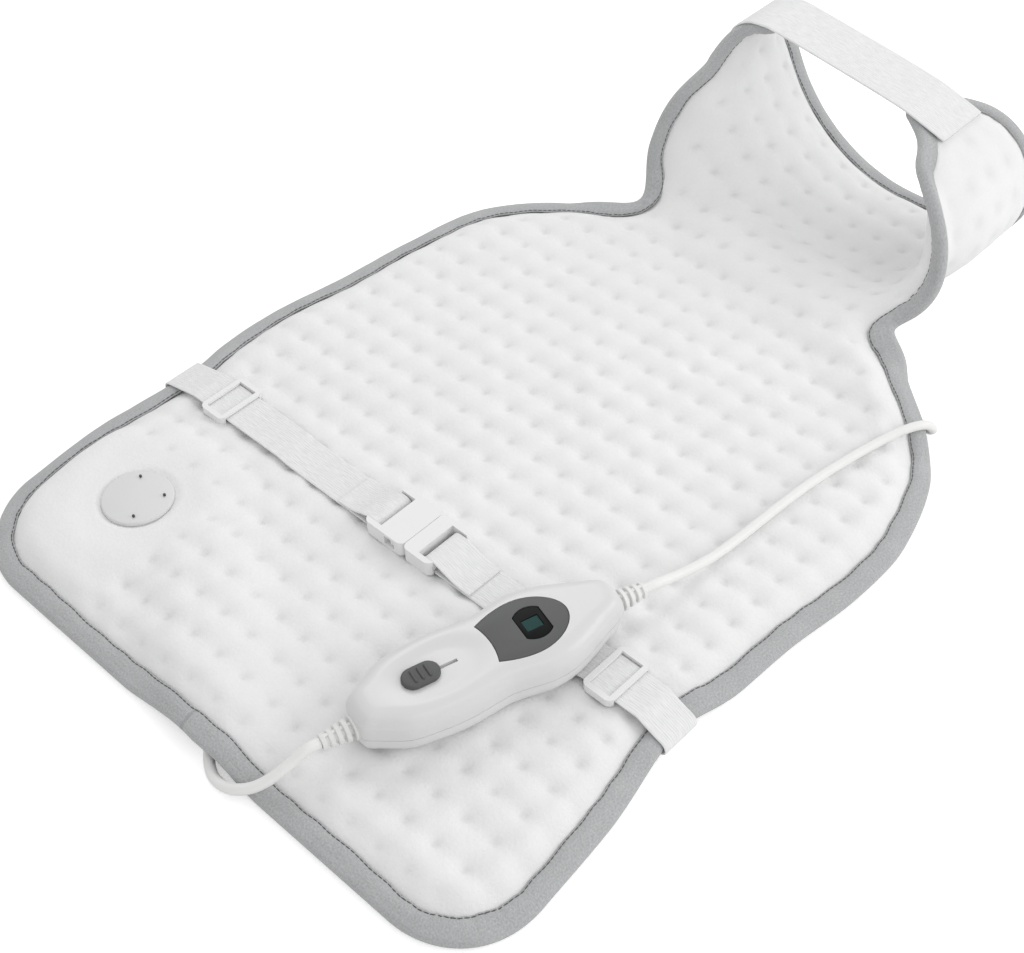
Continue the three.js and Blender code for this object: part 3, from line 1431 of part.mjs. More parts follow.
// Tie round the coil, on the side away from its ends, where both layers lie level.
function makeCoilTie() {
  const reach = mainsCordDiameter / 2 + fitGap;
  const outer = coilOuterRadius - 0.5 * coilPitch + reach + 0.3;
  const inner = coilOuterRadius - (coilTurnsPerLayer - 0.5) * coilPitch - reach - 0.8;
  const low = tieThickness + fitGap;
  const high = coilTop + fitGap;
  const t = tieThickness;
  const middle = (outer + inner) / 2;
  const height = high - low;
  const shape = roundedRectangle(outer - inner + 2 * t, height + 2 * t, 3, middle, (low + high) / 2);
  shape.holes.push(roundedRectangle(outer - inner, height, 3 - t, middle, (low + high) / 2));
  const tie = new THREE.ExtrudeGeometry(shape, { depth: tieWidth, bevelEnabled: false, curveSegments: 3 });
  tie.translate(0, 0, -tieWidth / 2);
  tie.rotateX(Math.PI / 2);
  tie.rotateZ(coilStart + Math.PI);
  tie.translate(coilCentre.x, coilCentre.y, 0);
  return tie;
}

const cordWhite = paint('#f0f0ee', 0.5);
const padCord = makePadCord();
const mainsCord = makeMainsCord();
const plugLead = makePlugLead();
addPiece(object, 'pad_cord', padCord.geometry, cordWhite.clone());
addPiece(object, 'mains_cord', mainsCord.geometry, cordWhite.clone());
addPiece(object, 'mains_coil', makeCoil(), cordWhite.clone());
addPiece(object, 'plug_lead', plugLead.geometry, cordWhite.clone());
addPiece(object, 'coil_tie', makeCoilTie(), paint('#2b2d30', 0.6));
addPiece(object, 'mains_plug', makePlug(), cordWhite.clone());
addPiece(object, 'plug_pin_1', makePlugPin(-1), paint('#d4c48a', 0.25, 0.9));
addPiece(object, 'plug_pin_2', makePlugPin(1), paint('#d4c48a', 0.25, 0.9));

console.log(`coil: least gap between turns ${coilGap().toFixed(2)} mm`);
console.log(`pad cord: ${Math.round(padCord.length)} mm`);
const mainsLength = mainsCord.length + pathLength(coilPath(96)) + plugLead.length;
console.log(`mains cord: ${Math.round(mainsLength)} mm in all`);

export default object;
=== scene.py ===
import math

import bmesh
import bpy
import numpy as np
from mathutils import Matrix, Vector


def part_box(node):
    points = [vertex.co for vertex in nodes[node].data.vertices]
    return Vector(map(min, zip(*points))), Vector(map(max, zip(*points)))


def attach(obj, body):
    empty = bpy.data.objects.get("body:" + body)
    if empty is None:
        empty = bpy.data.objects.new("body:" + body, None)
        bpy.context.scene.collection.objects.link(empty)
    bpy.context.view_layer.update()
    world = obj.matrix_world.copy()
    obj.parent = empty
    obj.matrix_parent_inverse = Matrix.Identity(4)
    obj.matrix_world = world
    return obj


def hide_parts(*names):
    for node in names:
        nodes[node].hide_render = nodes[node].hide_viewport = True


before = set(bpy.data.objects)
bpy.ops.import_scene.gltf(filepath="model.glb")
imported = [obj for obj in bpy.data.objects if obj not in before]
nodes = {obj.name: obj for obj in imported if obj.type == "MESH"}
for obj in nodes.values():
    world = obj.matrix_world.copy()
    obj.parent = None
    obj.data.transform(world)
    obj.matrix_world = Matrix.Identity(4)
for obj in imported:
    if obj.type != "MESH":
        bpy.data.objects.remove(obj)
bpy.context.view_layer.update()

scene = bpy.context.scene
scene.view_settings.view_transform = "Standard"


# Studio: a camera above the lower right corner of the pad, three large soft lamps round it, and a white
# floor under a pale sky. Floor and sky show whiter to the camera than the light they give.
camera_data = bpy.data.cameras.new("studio_camera")
camera_data.sensor_fit = "HORIZONTAL"
camera_data.sensor_width = 36.0
camera_data.lens = 59.27
camera_data.clip_end = 20.0
camera = bpy.data.objects.new("studio_camera", camera_data)
camera_right = Vector((0.7256, 0.6877, -0.0251))
camera_up = Vector((-0.4830, 0.5350, 0.6930))
camera_back = Vector((0.4902, -0.4909, 0.7202))
camera.matrix_world = Matrix.Translation((0.4845, -0.5476, 0.7100)) @ Matrix(
    (camera_right, camera_up, camera_back)
).transposed().to_4x4()
scene.collection.objects.link(camera)
scene.camera = camera


def soft_lamp(name, place, aim, size, watts):
    lamp = bpy.data.lights.new(name, "AREA")
    lamp.shape = "SQUARE"
    lamp.size = size
    lamp.energy = watts
    lamp_object = bpy.data.objects.new(name, lamp)
    lamp_object.location = place
    lamp_object.rotation_euler = (Vector(aim) - Vector(place)).to_track_quat("-Z", "Y").to_euler()
    scene.collection.objects.link(lamp_object)


soft_lamp("key_lamp", (-1.1, 0.9, 1.5), (0.0, 0.0, 0.0), 1.1, 9.5)
soft_lamp("fill_lamp", (1.6, -0.6, 1.6), (0.0, 0.0, 0.0), 1.6, 8.0)
soft_lamp("side_lamp", (1.5, 1.2, 0.8), (0.0, 0.1, 0.0), 1.4, 12.0)

sky = bpy.data.worlds.new("studio_sky")
sky.use_nodes = True
sky_nodes = sky.node_tree.nodes
sky_light = sky_nodes["Background"]
sky_light.inputs["Color"].default_value = (1.0, 1.0, 1.0, 1.0)
sky_ray = sky_nodes.new("ShaderNodeLightPath")
sky_level = sky_nodes.new("ShaderNodeMapRange")
sky_level.inputs["To Min"].default_value = 0.67
sky_level.inputs["To Max"].default_value = 1.0
sky.node_tree.links.new(sky_ray.outputs["Is Camera Ray"], sky_level.inputs["Value"])
sky.node_tree.links.new(sky_level.outputs["Result"], sky_light.inputs["Strength"])
scene.world = sky

floor_mesh = bpy.data.meshes.new("studio_floor")
floor_half = 6.0
floor_drop = -0.0004
floor_mesh.from_pydata(
    [(-floor_half, -floor_half, floor_drop), (floor_half, -floor_half, floor_drop),
     (floor_half, floor_half, floor_drop), (-floor_half, floor_half, floor_drop)],
    [], [(0, 1, 2, 3)],
)
floor = bpy.data.objects.new("studio_floor", floor_mesh)
scene.collection.objects.link(floor)
floor_paint = bpy.data.materials.new("floor_paint")
floor_paint.use_nodes = True
floor_nodes = floor_paint.node_tree.nodes
floor_shader = floor_nodes["Principled BSDF"]
floor_shader.inputs["Base Color"].default_value = (0.9, 0.9, 0.9, 1.0)
floor_shader.inputs["Roughness"].default_value = 0.9
floor_shader.inputs["Specular IOR Level"].default_value = 0.1
floor_shader.inputs["Emission Color"].default_value = (1.0, 1.0, 1.0, 1.0)
floor_ray = floor_nodes.new("ShaderNodeLightPath")
floor_glow = floor_nodes.new("ShaderNodeMath")
floor_glow.operation = "MULTIPLY"
floor_glow.inputs[1].default_value = 0.42
floor_paint.node_tree.links.new(floor_ray.outputs["Is Camera Ray"], floor_glow.inputs[0])
floor_paint.node_tree.links.new(floor_glow.outputs["Value"], floor_shader.inputs["Emission Strength"])
floor_mesh.materials.append(floor_paint)


# Leads: one short cord from the controller back under the pad, and the mains lead over the right
# shoulder, under the pad and wound up behind the collar. Round white PVC jackets, extruded on their
# wires; both leave the controller through moulded strain reliefs.
pad_lead_diameter = 0.0060
mains_lead_diameter = 0.0056
controller_turn = math.radians(-16.5)
controller_place = Vector((0.0802, -0.2586, 0.0164))
controller_length = 0.151
relief_length = 0.019
relief_height = 0.01115
fit_gap = 0.0003


def on_controller(x, y, z):
    """Point of the controller, measured from its lower end, in the part's frame."""
    return controller_place + Matrix.Rotation(controller_turn, 3, "Z") @ Vector((x, y, z))


def spline_through(points, per_span=10):
    """Smooth curve through the points, with spans timed by the root of their length."""
    points = np.asarray(points, float)
    whole = np.vstack([2 * points[0] - points[1], points, 2 * points[-1] - points[-2]])
    curve = []
    for index in range(1, len(whole) - 2):
        four = whole[index - 1:index + 3]
        knots = np.concatenate([[0.0], np.cumsum(np.linalg.norm(np.diff(four, axis=0), axis=1) ** 0.5)])
        for time in np.linspace(knots[1], knots[2], per_span, endpoint=False):
            level = four
            for rise in (1, 2, 3):
                low, high = knots[:4 - rise], knots[rise:]
                share = ((time - low) / (high - low))[:, None]
                level = level[:-1] * (1 - share) + level[1:] * share
            curve.append(level[0])
    curve.append(points[-1])
    return np.array(curve)


controller_ahead = Vector((-math.sin(controller_turn), math.cos(controller_turn), 0.0))
pad_exit = on_controller(0, -relief_length - fit_gap, relief_height)
mains_exit = on_controller(0, controller_length + relief_length + fit_gap, relief_height)

pad_lead_points = [
    pad_exit, pad_exit - controller_ahead * pad_lead_diameter,
    (0.0706, -0.2910, 0.0235), (0.0674, -0.3010, 0.0182), (0.0622, -0.3100, 0.0134),
    (0.0545, -0.3160, 0.0096), (0.0460, -0.3180, 0.0060), (0.0370, -0.3174, 0.0038),
    (0.0290, -0.3138, 0.0033), (0.0200, -0.3065, 0.0033), (0.0040, -0.2930, 0.0033),
    (-0.0220, -0.2710, 0.0033), (-0.0500, -0.2490, 0.0033), (-0.0740, -0.2340, 0.0036),
    (-0.09378, -0.2300, 0.0039), (-0.09948, -0.2300, 0.0039),
]
pad_lead_route = spline_through(pad_lead_points)

coil_middle = Vector((-0.118, 0.292, 0.0))
coil_radius = 0.040
coil_pitch = 0.0061
coil_turns = 8
coil_floor = 0.0042
coil_start = math.radians(-10)
coil_heading = Vector((-math.sin(coil_start), math.cos(coil_start), 0.0))


def coil_point(turn):
    """Spirals in on the floor layer, climbs where the spiral turns back, and spirals out on top."""
    radius = coil_radius - coil_pitch * min(turn, coil_turns - turn)
    angle = coil_start + 2 * math.pi * turn
    climb = min(max(2 * (turn - coil_turns / 2) + 0.5, 0.0), 1.0)
    height = coil_floor + coil_pitch * climb
    return coil_middle + Vector((radius * math.cos(angle), radius * math.sin(angle), height))


coil_steps = 40
coil_route = [coil_point(step / coil_steps) for step in range(coil_turns * coil_steps + 1)]
coil_in = coil_route[0] - coil_heading * mains_lead_diameter
coil_out = coil_route[-1] + coil_heading * mains_lead_diameter
mains_points = [
    mains_exit, mains_exit + controller_ahead * mains_lead_diameter,
    (0.1330, -0.0740, 0.0235), (0.1365, -0.0500, 0.0195), (0.1380, -0.0250, 0.0177),
    (0.1395, 0.0050, 0.0174), (0.1420, 0.0350, 0.0174), (0.1465, 0.0630, 0.0174),
    (0.1510, 0.0840, 0.0176), (0.1550, 0.0980, 0.0180), (0.1594, 0.1090, 0.0182),
    (0.1634, 0.1180, 0.0160), (0.1650, 0.1234, 0.0098), (0.1612, 0.1266, 0.0044),
    (0.1520, 0.1295, 0.0031), (0.1240, 0.1400, 0.0031), (0.1000, 0.1520, 0.0031),
    (0.0700, 0.1610, 0.0031), (0.0400, 0.1690, 0.0031), (0.0050, 0.1760, 0.0031),
    (-0.0300, 0.1840, 0.0031), (-0.0580, 0.2000, 0.0032), (-0.0740, 0.2240, 0.0036),
    (-0.0800, 0.2520, 0.0040), coil_in - coil_heading * mains_lead_diameter, coil_in,
]
plug_rear = Vector((-0.114, 0.318, 0.02015))
plug_points = [
    coil_out, coil_out + coil_heading * mains_lead_diameter,
    (-0.0760, 0.3120, 0.0118), (-0.0830, 0.3270, 0.0146), (-0.0960, 0.3350, 0.0178),
    plug_rear + Vector((0.002, 2.6 * mains_lead_diameter, 0.0)),
    plug_rear + Vector((0.0, mains_lead_diameter, 0.0)), plug_rear,
]
mains_route = np.vstack([spline_through(mains_points), np.array(coil_route), spline_through(plug_points)])


def fill_tree(tree, steps):
    """Builds a node tree step by step: each step is a name, a kind of node, its settings and its inputs.

    An input written as "step.output" is linked to that output, and any other one is a plain value.
    """
    made = {"in": tree.nodes.new("NodeGroupInput")}
    for name, kind, settings, inputs in steps:
        made[name] = tree.nodes.new(kind)
        for label, value in settings.items():
            setattr(made[name], label, value)
        for label, value in inputs.items():
            if isinstance(value, str):
                source, _, output = value.partition(".")
                tree.links.new(made[source].outputs[output], made[name].inputs[label])
            else:
                made[name].inputs[label].default_value = value


def math_step(name, operation, *inputs):
    """Step of a node tree that does one piece of arithmetic."""
    return name, "ShaderNodeMath", {"operation": operation}, dict(enumerate(inputs))


def new_tree(name, sizes, steps):
    """Geometry tree with the piece's geometry and its named sizes as inputs."""
    tree = bpy.data.node_groups.new(name, "GeometryNodeTree")
    tree.interface.new_socket("Geometry", in_out="INPUT", socket_type="NodeSocketGeometry")
    for label, kind in sizes:
        tree.interface.new_socket(label, in_out="INPUT", socket_type=kind)
    tree.interface.new_socket("Geometry", in_out="OUTPUT", socket_type="NodeSocketGeometry")
    fill_tree(tree, steps)
    return tree


def placed(name, mesh):
    """Object of a mesh, put into the scene."""
    piece = bpy.data.objects.new(name, mesh)
    scene.collection.objects.link(piece)
    return piece


def evaluated_mesh(name, start):
    """Plain mesh of an object with its modifiers carried out."""
    bpy.context.view_layer.update()
    mesh = bpy.data.meshes.new_from_object(start.evaluated_get(bpy.context.evaluated_depsgraph_get()))
    mesh.name = name
    return mesh


def bake_tree(name, start_mesh, tree, values):
    """Runs a tree on a start mesh and returns its result as a plain mesh object."""
    carrier = placed(name + "_start", start_mesh)
    modifier = carrier.modifiers.new("make", "NODES")
    modifier.node_group = tree
    for item in tree.interface.items_tree:
        if item.in_out == "INPUT" and item.name in values:
            modifier[item.identifier] = values[item.name]
    mesh = evaluated_mesh(name, carrier)
    bpy.data.objects.remove(carrier)
    return placed(name, mesh)


def route_mesh(name, route):
    mesh = bpy.data.meshes.new(name)
    mesh.from_pydata([tuple(point) for point in route], [(i, i + 1) for i in range(len(route) - 1)], [])
    return mesh


lead_tree = new_tree("round_lead", [
    ("Diameter", "NodeSocketFloat"), ("Sides", "NodeSocketInt"), ("Jacket", "NodeSocketMaterial"),
], [
    ("curve", "GeometryNodeMeshToCurve", {}, {"Mesh": "in.Geometry"}),
    math_step("half", "MULTIPLY", "in.Diameter", 0.5),
    ("section", "GeometryNodeCurvePrimitiveCircle", {}, {"Resolution": "in.Sides", "Radius": "half.Value"}),
    ("sweep", "GeometryNodeCurveToMesh", {},
     {"Curve": "curve.Curve", "Profile Curve": "section.Curve", "Fill Caps": True}),
    ("smooth", "GeometryNodeSetShadeSmooth", {}, {"Geometry": "sweep.Mesh"}),
    ("real", "GeometryNodeRealizeInstances", {}, {"Geometry": "smooth.Geometry"}),
    ("coat", "GeometryNodeSetMaterial", {}, {"Geometry": "real.Geometry", "Material": "in.Jacket"}),
    ("out", "NodeGroupOutput", {}, {"Geometry": "coat.Geometry"}),
])


def new_finish(name, inputs, steps):
    """Shader group with named inputs that gives out a colour, a roughness and a height."""
    group = bpy.data.node_groups.new(name, "ShaderNodeTree")
    for label, value in inputs.items():
        kind = "NodeSocketColor" if isinstance(value, tuple) else "NodeSocketFloat"
        group.interface.new_socket(label, in_out="INPUT", socket_type=kind).default_value = value
    group.interface.new_socket("Colour", in_out="OUTPUT", socket_type="NodeSocketColor")
    group.interface.new_socket("Roughness", in_out="OUTPUT", socket_type="NodeSocketFloat")
    group.interface.new_socket("Height", in_out="OUTPUT", socket_type="NodeSocketFloat")
    fill_tree(group, steps)
    return group


# Moulded finish: faint clouding of the colour, uneven gloss, and a fine grain in the skin.
moulded_finish = new_finish("moulded_finish", {
    "Colour": (0.8, 0.8, 0.8, 1.0), "Clouding": 0.03, "Cloud Size": 60.0,
    "Gloss": 0.35, "Gloss Spread": 0.06, "Grain Size": 2500.0,
}, [
    ("place", "ShaderNodeTexCoord", {}, {}),
    ("cloud", "ShaderNodeTexNoise", {}, {"Vector": "place.Object", "Scale": "in.Cloud Size", "Detail": 3.0}),
    ("grain", "ShaderNodeTexNoise", {}, {"Vector": "place.Object", "Scale": "in.Grain Size", "Detail": 2.0}),
    math_step("centre", "SUBTRACT", "cloud.Fac", 0.5),
    math_step("shift", "MULTIPLY_ADD", "centre.Value", "in.Clouding", 1.0),
    ("tint", "ShaderNodeVectorMath", {"operation": "SCALE"}, {0: "in.Colour", "Scale": "shift.Value"}),
    math_step("gloss", "MULTIPLY_ADD", "centre.Value", "in.Gloss Spread", "in.Gloss"),
    ("out", "NodeGroupOutput", {},
     {"Colour": "tint.Vector", "Roughness": "gloss.Value", "Height": "grain.Fac"}),
])


def finished_material(name, group, values, grain_depth, fixed=()):
    """Material whose shader takes colour, roughness and relief from a finish group."""
    material = bpy.data.materials.new(name)
    material.use_nodes = True
    parts = material.node_tree.nodes
    shader = parts["Principled BSDF"]
    finish = parts.new("ShaderNodeGroup")
    finish.node_tree = group
    for label, value in values.items():
        finish.inputs[label].default_value = value
    relief = parts.new("ShaderNodeBump")
    relief.inputs["Distance"].default_value = grain_depth
    relief.inputs["Strength"].default_value = 1.0
    links = material.node_tree.links
    links.new(finish.outputs["Colour"], shader.inputs["Base Color"])
    links.new(finish.outputs["Roughness"], shader.inputs["Roughness"])
    links.new(finish.outputs["Height"], relief.inputs["Height"])
    links.new(relief.outputs["Normal"], shader.inputs["Normal"])
    for label, value in fixed:
        shader.inputs[label].default_value = value
    return material


lead_jacket = finished_material("lead_jacket", moulded_finish, {
    "Colour": (0.84, 0.84, 0.83, 1.0), "Clouding": 0.05, "Cloud Size": 90.0,
    "Gloss": 0.42, "Grain Size": 900.0,
}, 0.00003)
pad_lead = bake_tree("pad_lead", route_mesh("pad_lead_route", pad_lead_route), lead_tree, {
    "Diameter": pad_lead_diameter, "Sides": 24, "Jacket": lead_jacket,
})
mains_lead = bake_tree("mains_lead", route_mesh("mains_lead_route", mains_route), lead_tree, {
    "Diameter": mains_lead_diameter, "Sides": 18, "Jacket": lead_jacket,
})
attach(pad_lead, "pad")
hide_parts("pad_cord")
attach(mains_lead, "pad")
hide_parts("mains_cord", "mains_coil", "plug_lead")


# Lining: a plain brushed fabric sheet under the pad, cut to the pad's pattern and turned up with it
# into the collar. Its edge is caught inside the tape, and the tufts pull small dimples into it, which
# are darkened with a faint painted shade.
pad_half_length = 0.313
pad_half_width = 0.205
tuft_pitch = 0.020
tuft_row_offset = 0.007
junction_x, junction_y = -0.134, -0.230
strap_y = -0.1425
lie_from, lie_step = -0.310, 0.050
lie_aside = np.array([8, 2, -3, -6, -6.5, -5.3, 1.4, 2.8, -1.5, -8, -1, 0]) * 0.001


def outline_half(spacing):
    """Right half of the pad's outline, from the middle of its lower edge to the middle of its neckline."""
    corner, tip_round, neck_round = 0.055, 0.017, 0.070
    tip_from, neck_from = -45, 25
    narrowing = neck_round - tip_round
    tip_u = pad_half_width - 0.013 - tip_round
    neck_u = tip_u - narrowing * math.cos(math.radians(neck_from))
    neck_v = pad_half_length - neck_round
    tip_v = neck_v + narrowing * math.sin(math.radians(neck_from))

    def rounding(u, v, radius, start, end, steps):
        turns = np.radians(np.linspace(start, end, steps))
        return list(zip(u + radius * np.cos(turns), v + radius * np.sin(turns)))

    tip = rounding(tip_u, tip_v, tip_round, tip_from, neck_from, 30)
    side = np.array([
        (0.205, -0.258), (0.205, -0.203), (0.197, -0.141), (0.204, -0.093), (0.203, 0.0075), (0.199, 0.0475),
        (0.187, 0.0925), (0.165, 0.1225), (0.131, 0.1525), (0.104, 0.1705), (0.128, 0.1905), (0.145, 0.2075),
        (0.158, 0.2295), (0.171, 0.244), tip[0],
    ])
    points = [(0.0, -pad_half_length)]
    points += rounding(pad_half_width - corner, corner - pad_half_length, corner, -90, 0, 60)
    whole = np.vstack([side[0], side, side[-1]])
    for index in range(len(side) - 1):
        before, start, end, after = whole[index:index + 4]
        for t in np.linspace(0, 1, 40)[1:]:
            out, back = 0.5 * (end - before), 0.5 * (after - start)
            points.append(tuple(
                (2 * start - 2 * end + out + back) * t ** 3 + (-3 * start + 3 * end - 2 * out - back) * t ** 2
                + out * t + start
            ))
    points += tip[1:] + rounding(neck_u, neck_v, neck_round, neck_from, 90, 40)[1:]
    points = np.array(points + [(0.0, pad_half_length)])
    steps = np.concatenate([[0.0], np.cumsum(np.linalg.norm(np.diff(points, axis=0), axis=1))])
    even = np.linspace(0.0, steps[-1], int(round(steps[-1] / spacing)) + 1)
    return np.column_stack([np.interp(even, steps, points[:, 0]), np.interp(even, steps, points[:, 1])])


def outward_of(points):
    """Outward direction along an outline that runs anticlockwise."""
    along = np.gradient(points, axis=0)
    along /= np.linalg.norm(along, axis=1)[:, None]
    return np.column_stack([along[:, 1], -along[:, 0]])


fine_outline = outline_half(0.001)


def smooth_step(value):
    value = np.clip(value, 0.0, 1.0)
    return value * value * (3.0 - 2.0 * value)


def distance_to_route(u, v, route):
    nearest = np.full(np.shape(u), np.inf)
    for (ax, ay), (bx, by) in zip(route[:-1], route[1:]):
        run_x, run_y = bx - ax, by - ay
        share = np.clip(((u - ax) * run_x + (v - ay) * run_y) / (run_x ** 2 + run_y ** 2), 0, 1)
        nearest = np.minimum(nearest, np.hypot(u - ax - share * run_x, v - ay - share * run_y))
    return nearest


pad_lead_hidden = [tuple(point[:2]) for point in pad_lead_points[9:14]]
mains_lead_hidden = [tuple(point[:2]) for point in mains_points[14:21]]


def aside_at(v):
    """How far the pad lies aside, along a smooth curve through lie_aside."""
    last = len(lie_aside) - 1
    place = np.clip((np.asarray(v, float) - lie_from) / lie_step, 0, last)
    index = np.minimum(np.floor(place), last - 1).astype(int)
    before, start, end, after = (lie_aside[np.clip(index + shift, 0, last)] for shift in (-1, 0, 1, 2))
    out, back = (end - before) / 2, (after - start) / 2
    t = place - index
    cubic = 2 * start - 2 * end + out + back
    return ((cubic * t + 3 * end - 3 * start - 2 * out - back) * t + out) * t + start


def rise_at(x, v):
    """How far the pad arches up over the leads, the socket and the strap tails under it."""
    u = x - aside_at(v)
    arch_height, arch_run = 0.008, 0.036
    lead_flat, socket_flat = 0.008, 0.036
    tail_height, tail_from, tail_run = 0.0024, 0.048, 0.024

    def arch(distance, flat):
        return 0.5 * arch_height * (1 + np.cos(np.pi * np.clip((distance - flat) / arch_run, 0, 1)))

    over_leads = np.maximum(arch(distance_to_route(x, v, pad_lead_hidden), lead_flat),
                            arch(distance_to_route(x, v, mains_lead_hidden), lead_flat))
    over_socket = arch(np.hypot(x - junction_x, v - junction_y), socket_flat)
    tail_share = smooth_step((np.abs(u) - pad_half_width + tail_from) / tail_run)
    over_tail = tail_height * tail_share * np.maximum(0, 1 - np.abs(v - strap_y) / (2 * tuft_pitch))
    lower, higher = np.minimum(over_leads, over_socket), np.maximum(over_leads, over_socket)
    blend = np.clip(1 - (higher - lower) / (lower + 1e-9), 0, 1)
    return np.maximum(higher + 0.25 * lower * blend ** 2, over_tail)


left_wing = {"flat": 0.006, "radius": 0.100, "arc": 0.150, "end radius": 0.016, "end turn": 90}
right_wing = {"flat": 0.033, "radius": 0.045, "arc": 0.126, "end radius": 0.045, "end turn": 2}
curl_from, curl_run = 0.145, 0.085
sway_aside, sway_from, sway_run = 0.029, 0.137, 0.120
collar_lean = 0.107
middle_height = 0.0075


def middle_surface(u, v):
    """The pad's middle surface: flat on the floor, with both wings of the collar curled up round a neck.

    Each wing bends round one radius, and its end round another; the right one's end is nearly straight.
    """

    def of_wing(size):
        return np.where(u < 0, left_wing[size], right_wing[size])

    curled = smooth_step((v - curl_from) / curl_run)
    end_radius = of_wing("end radius")
    bend = np.maximum(curled / of_wing("radius"), 1e-6)
    end_bend = np.maximum(curled / end_radius, 1e-6)
    flat = of_wing("flat")
    reach = np.maximum(np.abs(u) - flat, 0)
    arc = np.minimum(reach, of_wing("arc"))
    end_arc = np.minimum(reach - arc, end_radius * np.radians(of_wing("end turn")))
    straight = reach - arc - end_arc
    angle = arc * bend
    end_angle = angle + end_arc * end_bend
    across = (np.minimum(np.abs(u), flat) + np.sin(angle) / bend
              + (np.sin(end_angle) - np.sin(angle)) / end_bend + straight * np.cos(end_angle))
    up = ((1 - np.cos(angle)) / bend + (np.cos(angle) - np.cos(end_angle)) / end_bend
          + straight * np.sin(end_angle))
    aside = aside_at(v)
    sway = sway_aside * smooth_step((v - sway_from) / sway_run) + aside
    x = np.sign(u) * across + sway - collar_lean * up
    return np.stack([x, v, middle_height + up + rise_at(u + aside, v)], axis=-1)


def lay(u, v, w):
    """Points of the pad at (u, v) of its pattern and height w above its underside, where it lies."""
    u, v, w = (np.asarray(value, float) for value in np.broadcast_arrays(u, v, w))
    step = 0.0005
    across = middle_surface(u + step, v) - middle_surface(u - step, v)
    along = middle_surface(u, v + step) - middle_surface(u, v - step)
    normal = np.cross(across, along)
    normal /= np.linalg.norm(normal, axis=-1, keepdims=True)
    return middle_surface(u, v) + normal * (w - middle_height)[..., None]


def pattern_grid(spacing, inset):
    """Points (u, v) and faces that fill the pattern up to a line inset from its outline."""
    line = fine_outline - inset * outward_of(fine_outline)
    low, high = -pad_half_length + inset, pad_half_length - inset
    rising = line[(line[:, 1] > low + 1e-6) & (line[:, 1] < high - 1e-6)]
    rows = np.arange(math.ceil((low + 0.0004) / spacing), math.floor((high - 0.0004) / spacing) + 1) * spacing
    rows = np.concatenate([[low], rows, [high]])
    reach = np.interp(rows, rising[:, 1], rising[:, 0])
    count = int(math.ceil(line[:, 0].max() / spacing)) + 1
    columns = np.arange(-count, count + 1)
    points, index = [], np.zeros((len(rows), len(columns)), int)
    for row, (v, edge) in enumerate(zip(rows, reach)):
        inner = int(math.floor(edge / spacing - 0.25))
        us = np.concatenate([[-edge], np.arange(-inner, inner + 1) * spacing, [edge]])
        index[row] = len(points) + np.clip(columns + inner + 1, 0, len(us) - 1)
        points.extend((u, v) for u in us)
    faces = []
    for row in range(len(rows) - 1):
        for column in range(len(columns) - 1):
            corners = (index[row, column], index[row, column + 1],
                       index[row + 1, column + 1], index[row + 1, column])
            face = list(dict.fromkeys(corners))
            if len(face) > 2:
                faces.append(face)
    return np.array(points), faces


def inward_distance(points):
    """Distance from each pattern point to the pad's outline."""
    outline = np.vstack([fine_outline, fine_outline * (-1, 1)])
    nearest = np.empty(len(points))
    for start in range(0, len(points), 2000):
        part = points[start:start + 2000]
        gap = part[:, None, :] - outline[None, ::2, :]
        nearest[start:start + 2000] = np.sqrt((gap ** 2).sum(axis=2).min(axis=1))
    return nearest


def new_piece(name, vertices, faces, material, uv=None, pit=None):
    """Smooth mesh piece from points and faces, with its own material and, if given, a UV and a pit share for
    painted shade.
    """
    mesh = bpy.data.meshes.new(name)
    mesh.from_pydata([tuple(vertex) for vertex in vertices], [], faces)
    mesh.validate()
    if uv is not None:
        layer = mesh.uv_layers.new(name="pattern")
        corner_points = np.zeros(len(mesh.loops), int)
        mesh.loops.foreach_get("vertex_index", corner_points)
        layer.data.foreach_set("uv", np.asarray(uv, np.float32)[corner_points].ravel())
    if pit is not None:
        share = mesh.attributes.new("pit", "FLOAT", "POINT")
        share.data.foreach_set("value", np.asarray(pit, np.float32))
    mesh.shade_smooth()
    mesh.materials.append(material)
    return placed(name, mesh)


def rim_edges(faces):
    """Edges that only one face uses, in that face's direction."""
    used = {}
    for face in faces:
        for a, b in zip(face, face[1:] + face[:1]):
            used[(a, b)] = True
    return [(a, b) for a, b in used if (b, a) not in used]


def closed_layer(points, faces, low, high):
    """Closed body between two heights over a filled pattern."""
    count = len(points)
    vertices = np.vstack([lay(points[:, 0], points[:, 1], high), lay(points[:, 0], points[:, 1], low)])
    under = [[corner + count for corner in reversed(face)] for face in faces]
    rim = [[b, a, a + count, b + count] for a, b in rim_edges(faces)]
    return vertices, faces + under + rim


def tuft_offset(u, v):
    """Offsets from the nearest tuft, and whether that tuft is there: none are sewn round the junction."""
    x = u + aside_at(v)
    near_x = (np.round(x / tuft_pitch - 0.5) + 0.5) * tuft_pitch
    near_v = np.round((v - tuft_row_offset) / tuft_pitch) * tuft_pitch + tuft_row_offset
    sewn = ~((near_x < junction_x + 0.027) & (near_v < junction_y + 0.029))
    return x - near_x, v - near_v, sewn.astype(float)
